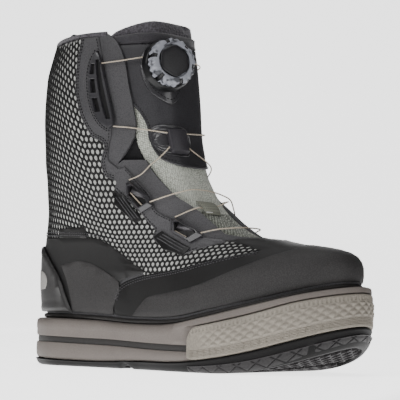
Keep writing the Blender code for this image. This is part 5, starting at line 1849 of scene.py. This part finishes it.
@dataclass
class Dial:
    """Lace dial: flange, housing, knurled ring and cap."""

    radius: float = 0.0195
    base_high: float = 0.0055
    knob_high: float = 0.0098
    cap: float = 0.0128
    seat: float = -0.00085
    facet_count: int = 10
    ridge_count: int = 24
    notch_count: int = 6
    lobe_count: int = 6
    notch_shift: float = 0.2
    AT = (0.800, 0.880)
    # Housing: share of the ring's radius, height
    HOUSING = [(0.2, -0.0006), (1.12, -0.0006), (1.12, 0.0008), (1.10, 0.0014), (1.08, 0.0030),
               (1.05, 0.0044), (1.01, 0.0052), (0.95, 0.0055), (0.2, 0.0055)]
    FLANGE = [(0.656, 0.895), (0.668, 0.925), (0.703, 0.945), (0.800, 0.955), (0.900, 0.945),
              (0.960, 0.895), (0.960, 0.840), (0.920, 0.780), (0.824, 0.745), (0.750, 0.757),
              (0.690, 0.787), (0.660, 0.838)]

    def __post_init__(self) -> None:
        """Work out the dial's middle, axis and directions."""
        turn, rise = self.AT
        self.centre = LAST.place(turn, rise, self.seat)
        self.axis = unit(LAST.place(turn, rise, self.seat + MM) - self.centre)
        self.across = unit(np.cross((0.0, 0.0, 1.0), self.axis))
        self.up = np.cross(self.axis, self.across)
        self.base = self.base_high + FIT
        self.summit = self.base + self.knob_high

    def turned(self, name: str, profile: Outline, around: int,
               lobe: Callable | None = None) -> bpy.types.Object:
        """Body turned about the dial's axis.

        Args:
            name: The object's name.
            profile: Radius and height pairs.
            around: Faces round it.
            lobe: Maps radius, height and angle to a new radius.

        Returns:
            The object.
        """
        rows = np.array(profile)
        last = len(rows) - 1

        def form(u: Array, v: Array) -> Array:
            """Point at angle u of profile place v."""
            index = np.rint(v * last).astype(int)
            radius, height = rows[index, 0], rows[index, 1]
            angle = u * 2.0 * math.pi
            if lobe is not None:
                radius = lobe(radius, height, angle)
            return (self.centre + np.outer(height, self.axis)
                    + np.outer(radius * np.cos(angle), self.across)
                    + np.outer(radius * np.sin(angle), self.up))

        return mend(shaped_grid(name, around, last, form, closed=True), fill=True)

    def flange(self) -> None:
        """Thin plate under the housing."""
        piece = panel("dial_flange_plate", self.FLANGE, self.seat - FIT - 0.0012, 0.0012,
                      roll=0.0006)
        finish(piece, GUIDE_NYLON, ("dial_flange",))

    def housing(self) -> None:
        """Faceted housing that holds the ring."""
        def facets(reach: Array, height: Array, angle: Array) -> Array:
            """Soft facets round the housing."""
            part = (angle * self.facet_count / (2 * math.pi)) % 1.0 - 0.5
            bulge = 1.0 / np.cos(part * 2 * math.pi / self.facet_count) - 1.0
            return reach * (0.965 + 0.05 * bulge * 8)

        rows = [(share * self.radius, height) for share, height in self.HOUSING]
        piece = self.turned("dial_housing", rows, 80, facets)
        finish(piece, HOUSING_NYLON, ("dial_base",), smooth=35.0)

    def ring(self) -> None:
        """Ring that is turned by hand, with notches painted black as their shade."""
        radius, base, top, hole = self.radius, self.base, self.summit, self.cap + FIT

        def knurl(reach: Array, height: Array, angle: Array) -> Array:
            """Swirled ridges and wide notches on the rim."""
            rim = ease(0.0160, 0.0185, reach)
            twist = (height - base) / self.knob_high * 0.10
            ridge = np.abs(((angle + twist) * self.ridge_count / (2 * math.pi)) % 1.0 - 0.5) * 2.0
            place = angle * self.notch_count / (2 * math.pi) + self.notch_shift
            notch = np.abs(place % 1.0 - 0.5) * 2.0
            return reach - rim * (0.0013 * ridge**1.5 + 0.0014 * ease(0.80, 0.92, notch))

        rows = [(0.004, base), (radius - 0.001, base), (radius - 0.0002, base + 0.0006),
                (radius, base + 0.0020), (radius, base + 0.0035), (radius, base + 0.0050),
                (radius, top - 0.0036), (radius - 0.0002, top - 0.0024),
                (radius - 0.0010, top - 0.0012), (radius - 0.0022, top - 0.0004),
                (radius - 0.0032, top - 0.0001), (radius - 0.0045, top),
                (hole + 0.0006, top), (hole, top - 0.0005), (hole, top - 0.002),
                (0.004, top - 0.002)]
        piece = self.turned("dial_ring", rows, 288, knurl)
        paint(piece, DIAL_NYLON, CAP_NYLON_AND_NOTCH_SHADE)
        # Painted shade: faces in the notches, out at the rim, take the cap's black
        for face in piece.data.polygons:
            arm = np.array(face.center) - self.centre
            wide, tall = arm @ self.across, arm @ self.up
            place = math.atan2(tall, wide) * self.notch_count / (2 * math.pi) + self.notch_shift
            in_notch = abs(place % 1.0 - 0.5) > 0.40
            face.material_index = int(in_notch and math.hypot(wide, tall) > 0.0155)
        finish(piece, DIAL_NYLON, ("dial_knob",), smooth=35.0)

    def cap_disc(self) -> None:
        """Lobed cap in the ring's face."""
        cap, top = self.cap, self.summit
        rows = [(0.002, top - 0.002 + FIT), (cap, top - 0.002 + FIT), (cap, top + 0.0001),
                (cap - 0.0003, top + 0.0006), (cap - 0.0009, top + 0.0010),
                (cap - 0.0020, top + 0.0012), (cap - 0.0050, top + 0.0014),
                (0.002, top + 0.0014)]

        def lobes(reach: Array, height: Array, angle: Array) -> Array:
            """Soft lobes on the cap's rim."""
            wave = (1 + np.cos(self.lobe_count * angle)) / 2
            return reach * (1.0 - 0.07 * ease(0.006, 0.012, reach) * wave)

        piece = self.turned("dial_cap_disc", rows, 96, lobes)
        finish(piece, CAP_NYLON_AND_NOTCH_SHADE, ("dial_cap",))

    def build(self) -> None:
        """Make every piece of the dial."""
        self.flange()
        self.housing()
        self.ring()
        self.cap_disc()


@dataclass
class Guides:
    """Lace guides of both eyestays and the wire."""

    wire: float = 0.0013
    top_high: float = 0.0028
    loop_high: float = 0.0042
    window: float = 0.70
    drawn_wire: float = 0.00105
    TOP = [(0.541, 0.940), (0.530, 0.905), (0.525, 0.850), (0.527, 0.780), (0.534, 0.722),
           (0.547, 0.682), (0.565, 0.659), (0.575, 0.675), (0.577, 0.701), (0.569, 0.780),
           (0.557, 0.869), (0.550, 0.915)]
    MID = [(0.583, 0.474), (0.612, 0.418), (0.609, 0.385), (0.577, 0.364), (0.564, 0.425),
           (0.572, 0.467)]
    LOW = [(0.648, 0.343), (0.678, 0.292), (0.674, 0.276), (0.632, 0.256), (0.612, 0.297),
           (0.634, 0.338)]
    PLATES = {"mid": [(0.556, 0.428), (0.568, 0.340), (0.552, 0.328), (0.531, 0.395),
                      (0.541, 0.438)],
              "low": [(0.593, 0.300), (0.623, 0.240), (0.597, 0.218), (0.570, 0.240),
                      (0.569, 0.281)]}
    RIBS = {"mid": [[(0.5545, 0.420), (0.5660, 0.347)], [(0.5385, 0.420), (0.5500, 0.342)]],
            "low": [[(0.5930, 0.290), (0.6190, 0.244)], [(0.5730, 0.276), (0.5960, 0.228)]]}
    RUNS = {
        "dial_to_top_lateral": [(0.5531, 0.893, 2.5), (0.590, 0.897, 2.0), (0.625, 0.902, 1.3),
                                (0.673, 0.908, 0.9)],
        "dial_to_top_medial": [(1.4461, 0.893, 2.5), (1.400, 0.897, 1.7), (1.330, 0.902, 0.2),
                               (1.200, 0.905, -0.8), (1.080, 0.907, -0.1), (0.9383, 0.908, 1.6)],
        "top_to_guide_lateral": [(0.5738, 0.668, 2.2), (0.612, 0.662, 1.5), (0.640, 0.656, 0.7),
                                 (0.690, 0.648, 0.3), (0.7588, 0.640, 1.2)],
        "top_to_guide_medial": [(1.4262, 0.668, 2.2), (1.380, 0.662, 1.1), (1.300, 0.656, -0.2),
                                (1.150, 0.650, -0.9), (1.020, 0.645, 0.1), (0.9102, 0.640, 1.2)],
        "guide_to_mid_lateral": [(0.7548, 0.590, 1.2), (0.700, 0.560, 0.3), (0.650, 0.528, 1.0),
                                 (0.615, 0.495, 2.6), (0.5828, 0.477, 3.6)],
        "guide_to_mid_medial": [(0.9112, 0.590, 1.2), (1.000, 0.575, 0.3), (1.150, 0.550, -0.5),
                                (1.300, 0.520, 0.5), (1.385, 0.490, 2.6), (1.4166, 0.477, 3.6)],
        "in_mid_lateral": [(0.574, 0.432, 2.9), (0.587, 0.386, 2.9)],
        "in_mid_medial": [(1.426, 0.432, 2.9), (1.413, 0.386, 2.9)],
        "in_low_lateral": [(0.620, 0.301, 2.9), (0.635, 0.274, 2.9)],
        "in_low_medial": [(1.380, 0.301, 2.9), (1.365, 0.274, 2.9)],
        "cross_under": [(0.6490, 0.345, 3.4), (0.700, 0.364, 1.6), (0.752, 0.376, 0.4),
                        (0.790, 0.384, -1.9), (0.830, 0.388, -2.2), (0.900, 0.390, -2.2),
                        (0.965, 0.392, -2.2), (1.020, 0.395, -1.9), (1.090, 0.399, -0.8),
                        (1.200, 0.405, 0.9), (1.300, 0.408, 1.4), (1.3886, 0.404, 3.4)],
        "cross_over": [(0.6095, 0.398, 3.6), (0.660, 0.416, 2.4), (0.720, 0.430, 1.4),
                       (0.800, 0.440, 0.5), (1.000, 0.438, 0.4), (1.150, 0.428, 0.6),
                       (1.250, 0.402, 3.2), (1.300, 0.365, 3.0), (1.3443, 0.332, 3.4)],
        "bottom": [(0.6773, 0.285, 3.2), (0.730, 0.296, 1.6), (0.800, 0.300, 1.1),
                   (1.000, 0.302, 1.0), (1.200, 0.300, 1.1), (1.270, 0.296, 1.6),
                   (1.3232, 0.285, 3.2)]}

    def top_guides(self) -> None:
        """Long crescent guides with slots in their face, over a near-black sheet that paints the
        slots' shade.
        """
        heel_side = np.array(sorted((w, u) for u, w in self.TOP[:7]))
        lace_side = np.array(sorted((w, u) for u, w in self.TOP[6:] + self.TOP[:1]))

        def slot(low: float, high: float, near: float, far: float) -> list[tuple[float, float]]:
            """Slot between two heights and two shares of the guide's width."""
            ring = []
            for share, start, end in ((near, low, high), (far, high, low)):
                rises = np.linspace(start, end, 6)
                left, right = (np.interp(rises, table[:, 0], table[:, 1])
                               for table in (heel_side, lace_side))
                ring += list(zip(left + (right - left) * share, rises))
            return ring

        slots = [slot(low, high, 0.14, 0.36) for low, high in ((0.722, 0.770), (0.790, 0.838),
                                                               (0.856, 0.892))]
        slots.append(slot(0.695, 0.905, 0.56, 0.82))
        for side, way in SIDES.items():
            piece = panel(f"guide_top_{side}", way(self.TOP), OVER + FIT, self.top_high,
                          roll=0.0005, windows=[way(ring) for ring in slots], pitch=0.0014,
                          step=0.0012)
            finish(piece, GUIDE_NYLON, (f"lace_guide_top_{side}",))
            # Painted shade: a near-black sheet under the guide, seen through the slots as their
            # shade
            piece = panel(f"guide_slot_shade_{side}", way(self.TOP), OVER + FIT * 0.4, 0.0009,
                          roll=0.0006)
            finish(piece, PLATE_NYLON_AND_SLOT_SHADE)

    def moulding(self, name: str, corners: Array, profile: Outline,
                 high: float) -> bpy.types.Object:
        """Small moulded body with flat sides, scaled about its middle row by row.

        Args:
            name: The object's name.
            corners: Chart points of its outline.
            profile: Pairs of share of the outline's size and height in metres.
            high: Height of its foot over the last.

        Returns:
            The object.
        """
        centre, count, rows = corners.mean(0), len(corners), np.array(profile)
        last = len(rows) - 1

        def form(u: Array, v: Array) -> Array:
            """Point of side u at profile place v."""
            side = np.minimum((u * count).astype(int), count - 1)
            step = (u * count - side)[:, None]
            edge = corners[side] * (1.0 - step) + corners[(side + 1) % count] * step
            share, height = rows[np.rint(v * last).astype(int)].T
            flat = centre + (edge - centre) * share[:, None]
            return on_last(flat, high + height)

        return shaped_grid(name, 6 * count, last, form, closed=True)

    def frames(self) -> None:
        """Framed guides with a pad and a slot in their window, on ribbed plates."""
        tall, hole = self.loop_high, self.window
        bevel = [(hole, 0.0), (hole, tall * 0.85), (hole + 0.03, tall), (hole + 0.09, tall),
                 (0.96, tall * 0.62), (1.0, tall * 0.48), (1.0, 0.0), (hole, 0.0)]
        slab = [(0.0, 0.0008), (0.9, 0.0008), (1.0, 0.0005), (1.0, 0.0), (0.0, 0.0)]
        dome = [(0.0, 0.0036), (0.3, 0.0035), (0.5, 0.0032), (0.7, 0.0026), (0.85, 0.0019),
                (0.95, 0.0010), (1.0, 0.0), (0.0, 0.0)]
        pad = ((1, 0.0), (0.75, 0.75), (0.1, 1.0), (-0.30, 0.1), (-0.1, -0.9), (0.6, -0.85))
        for place, shape in (("mid", self.MID), ("low", self.LOW)):
            for side, way in SIDES.items():
                name = f"{place}_{side}"
                corners = np.array(way(shape))
                piece = self.moulding(f"guide_{name}", corners, bevel, OVER + FIT)
                finish(piece, GUIDE_NYLON, (f"lace_guide_{name}",), smooth=25.0)
                centre = corners.mean(0)
                # Painted shade: a near-black sheet in the frame's window, for the shade under the
                # frame
                bed = centre + (corners - centre) * (hole + 0.04)
                piece = self.moulding(f"guide_window_shade_{name}", bed, slab, OVER + FIT * 0.6)
                finish(piece, PLATE_NYLON_AND_SLOT_SHADE, smooth=25.0)
                first = (corners[0] + corners[1] - corners[3] - corners[4]) / 4.0 * hole
                second = (corners[1] + corners[2] - corners[4] - corners[5]) / 4.0 * hole
                ring = np.array([centre + a * first + b * second for a, b in pad])
                piece = self.moulding(f"guide_pad_{name}", ring, dome, OVER + FIT)
                finish(piece, PAD_NYLON, smooth=60.0)
                piece = self.moulding(f"guide_plate_{name}", np.array(way(self.PLATES[place])),
                                      slab, OVER + FIT * 0.4)
                finish(piece, PLATE_NYLON_AND_SLOT_SHADE, smooth=25.0)
                front, back = np.array(self.RIBS[place])
                for number, share in enumerate((0.12, 0.50, 0.88)):
                    ends = front + (back - front) * share
                    line = ends[0] + np.linspace(0.0, 1.0, 9)[:, None] * (ends[1] - ends[0])
                    line = np.array(way(line.tolist()))
                    piece = tube(f"guide_rib_{name}_{number}", on_last(line, OVER + 0.0008),
                                 0.00042, 8)
                    finish(piece, GUIDE_NYLON, smooth=80.0)

    def laces(self) -> None:
        """The wire's runs between the guides."""
        for name, route in self.RUNS.items():
            rows = np.array(route)
            at = np.linspace(0.0, 1.0, len(rows))
            fine = np.linspace(0.0, 1.0, 24 * (len(rows) - 1) + 1)
            turn, rise, lift = (along(np.column_stack([at, rows[:, k]]), fine) for k in range(3))
            path = LAST.place(turn, rise, lift * self.wire)
            piece = tube(f"wire_{name}", path, self.drawn_wire / 2.0, 12)
            nodes = () if name.startswith("in_") else (f"lace_{name}",)
            finish(piece, CABLE, nodes, smooth=80.0)

    def build(self) -> None:
        """Make the guides and the wire."""
        self.top_guides()
        self.frames()
        self.laces()


@dataclass
class Studio:
    """Pale cove, soft lights and the camera."""

    lens: float = 141.7
    distance: float = 1.25477
    azimuth: float = 40.19
    rise: float = -4.13
    roll: float = 0.85
    glow: float = 2.3
    ambient: float = 0.06
    TARGET = (0.12175, 0.0, 0.1345)
    # Paper: metres ahead at its start, its bend and its end; height; width
    COVE_AHEAD = (-3.0, 2.6, 4.6)
    COVE_HIGH = 3.4
    COVE_WIDE = 8.0
    # Where the paper's glow begins, and the share of the view's width where it ends
    GLOW_AHEAD = (-0.68, -0.54)
    GLOW_ASIDE = (0.24, 0.34)
    # Name; metres towards the camera, to its right and up; size; watts
    LIGHTS = (("key", 0.9, -0.9, 1.0, 0.9, 12.0), ("fill", 1.2, 1.1, 0.6, 0.9, 6.0),
              ("low_fill", 1.4, 0.0, 0.15, 0.8, 0.4), ("back", -0.1, 0.0, 1.6, 1.0, 7.5))

    def camera(self) -> None:
        """Stand the camera where the photograph was taken from."""
        az, el, roll = (math.radians(v) for v in (self.azimuth, self.rise, self.roll))
        back = np.array([math.sin(az) * math.cos(el), -math.cos(az) * math.cos(el), math.sin(el)])
        right = np.array([math.cos(az), math.sin(az), 0.0])
        up = np.cross(back, right)
        turned_right = right * math.cos(roll) + up * math.sin(roll)
        turned_up = up * math.cos(roll) - right * math.sin(roll)
        eye = bpy.data.cameras.new("camera")
        eye.lens = self.lens
        eye.sensor_width = 36.0
        made = bpy.data.objects.new("camera", eye)
        bpy.context.scene.collection.objects.link(made)
        rows = np.column_stack([turned_right, turned_up, back])
        place = np.array(self.TARGET) + back * self.distance
        made.matrix_world = Matrix([(*rows[k], place[k]) for k in range(3)] + [(0, 0, 0, 1)])
        bpy.context.scene.camera = made

    def floor(self) -> None:
        """Sheet of pale paper that runs up behind the boot."""
        az = math.radians(self.azimuth)
        away = np.array([-math.sin(az), math.cos(az)])
        side = np.array([math.cos(az), math.sin(az)])

        def form(u: Array, v: Array) -> Array:
            """Floor, bend and wall."""
            ahead = np.interp(v, (0.0, 0.5, 1.0), self.COVE_AHEAD)
            height = self.COVE_HIGH * np.clip((v - 0.5) / 0.5, 0.0, 1.0) ** 2.0
            across = (u - 0.5) * self.COVE_WIDE
            flat = np.outer(ahead, away) + np.outer(across, side) + (0.12, 0.0)
            return np.column_stack([flat, height])

        piece = shaped_grid("paper_cove", 20, 120, form)
        bpy.ops.object.shade_smooth()
        paper = bpy.data.materials.new("pale paper")
        paper.use_nodes = True
        shader = paper.node_tree.nodes["Principled BSDF"]
        shader.inputs["Base Color"].default_value = linear("f4f4f3")
        shader.inputs["Roughness"].default_value = 0.9
        shader.inputs["Emission Color"].default_value = linear("ffffff")
        coords = add_node(paper, "ShaderNodeTexCoord").outputs["Object"]
        ahead, across = (add_node(paper, "ShaderNodeVectorMath", {0: coords, 1: (*way, 0.0)},
                                  operation="DOT_PRODUCT").outputs["Value"]
                         for way in (away, side))
        reach = compute(paper, "ADD", ahead, self.distance)
        spread = compute(paper, "ABSOLUTE", compute(paper, "DIVIDE", across, reach))
        near = remap(paper, ahead, self.GLOW_AHEAD, (0.0, self.glow))
        beam = remap(paper, spread, self.GLOW_ASIDE, (1.0, 0.0))
        glow = compute(paper, "MULTIPLY", near, beam)
        paper.node_tree.links.new(glow, shader.inputs["Emission Strength"])
        piece.data.materials.append(paper)

    def light(self, name: str, place: tuple, size: float, power: float) -> None:
        """Soft box aimed at the boot.

        Args:
            name: Its name.
            place: Where it hangs, in metres.
            size: Its width.
            power: Watts.
        """
        lamp = bpy.data.lights.new(name, "AREA")
        lamp.size, lamp.energy = size, power
        made = bpy.data.objects.new(name, lamp)
        bpy.context.scene.collection.objects.link(made)
        made.location = place
        aim = np.array(self.TARGET) - np.array(place)
        made.rotation_euler = Vector(aim).to_track_quat("-Z", "Y").to_euler()

    def build(self) -> None:
        """Set up the studio."""
        self.floor()
        self.camera()
        az = math.radians(self.azimuth)
        front = np.array([math.sin(az), -math.cos(az), 0.0])
        side = np.array([math.cos(az), math.sin(az), 0.0])
        for name, ahead, aside, high, size, power in self.LIGHTS:
            place = front * ahead + side * aside + (0.1, 0.0, high)
            self.light(name, tuple(place), size, power)
        world = bpy.data.worlds.new("studio")
        world.use_nodes = True
        sky = world.node_tree.nodes["Background"]
        sky.inputs["Color"].default_value = linear("ffffff")
        sky.inputs["Strength"].default_value = self.ambient
        bpy.context.scene.world = world


def main() -> None:
    """Build the boot and its studio."""
    logging.basicConfig(level=logging.INFO, format="%(name)s %(message)s")
    for part in (Sole(), Upper(), Tongue(), Dial(), Guides()):
        part.build()
    Studio().build()


if __name__ == "__main__":
    main()
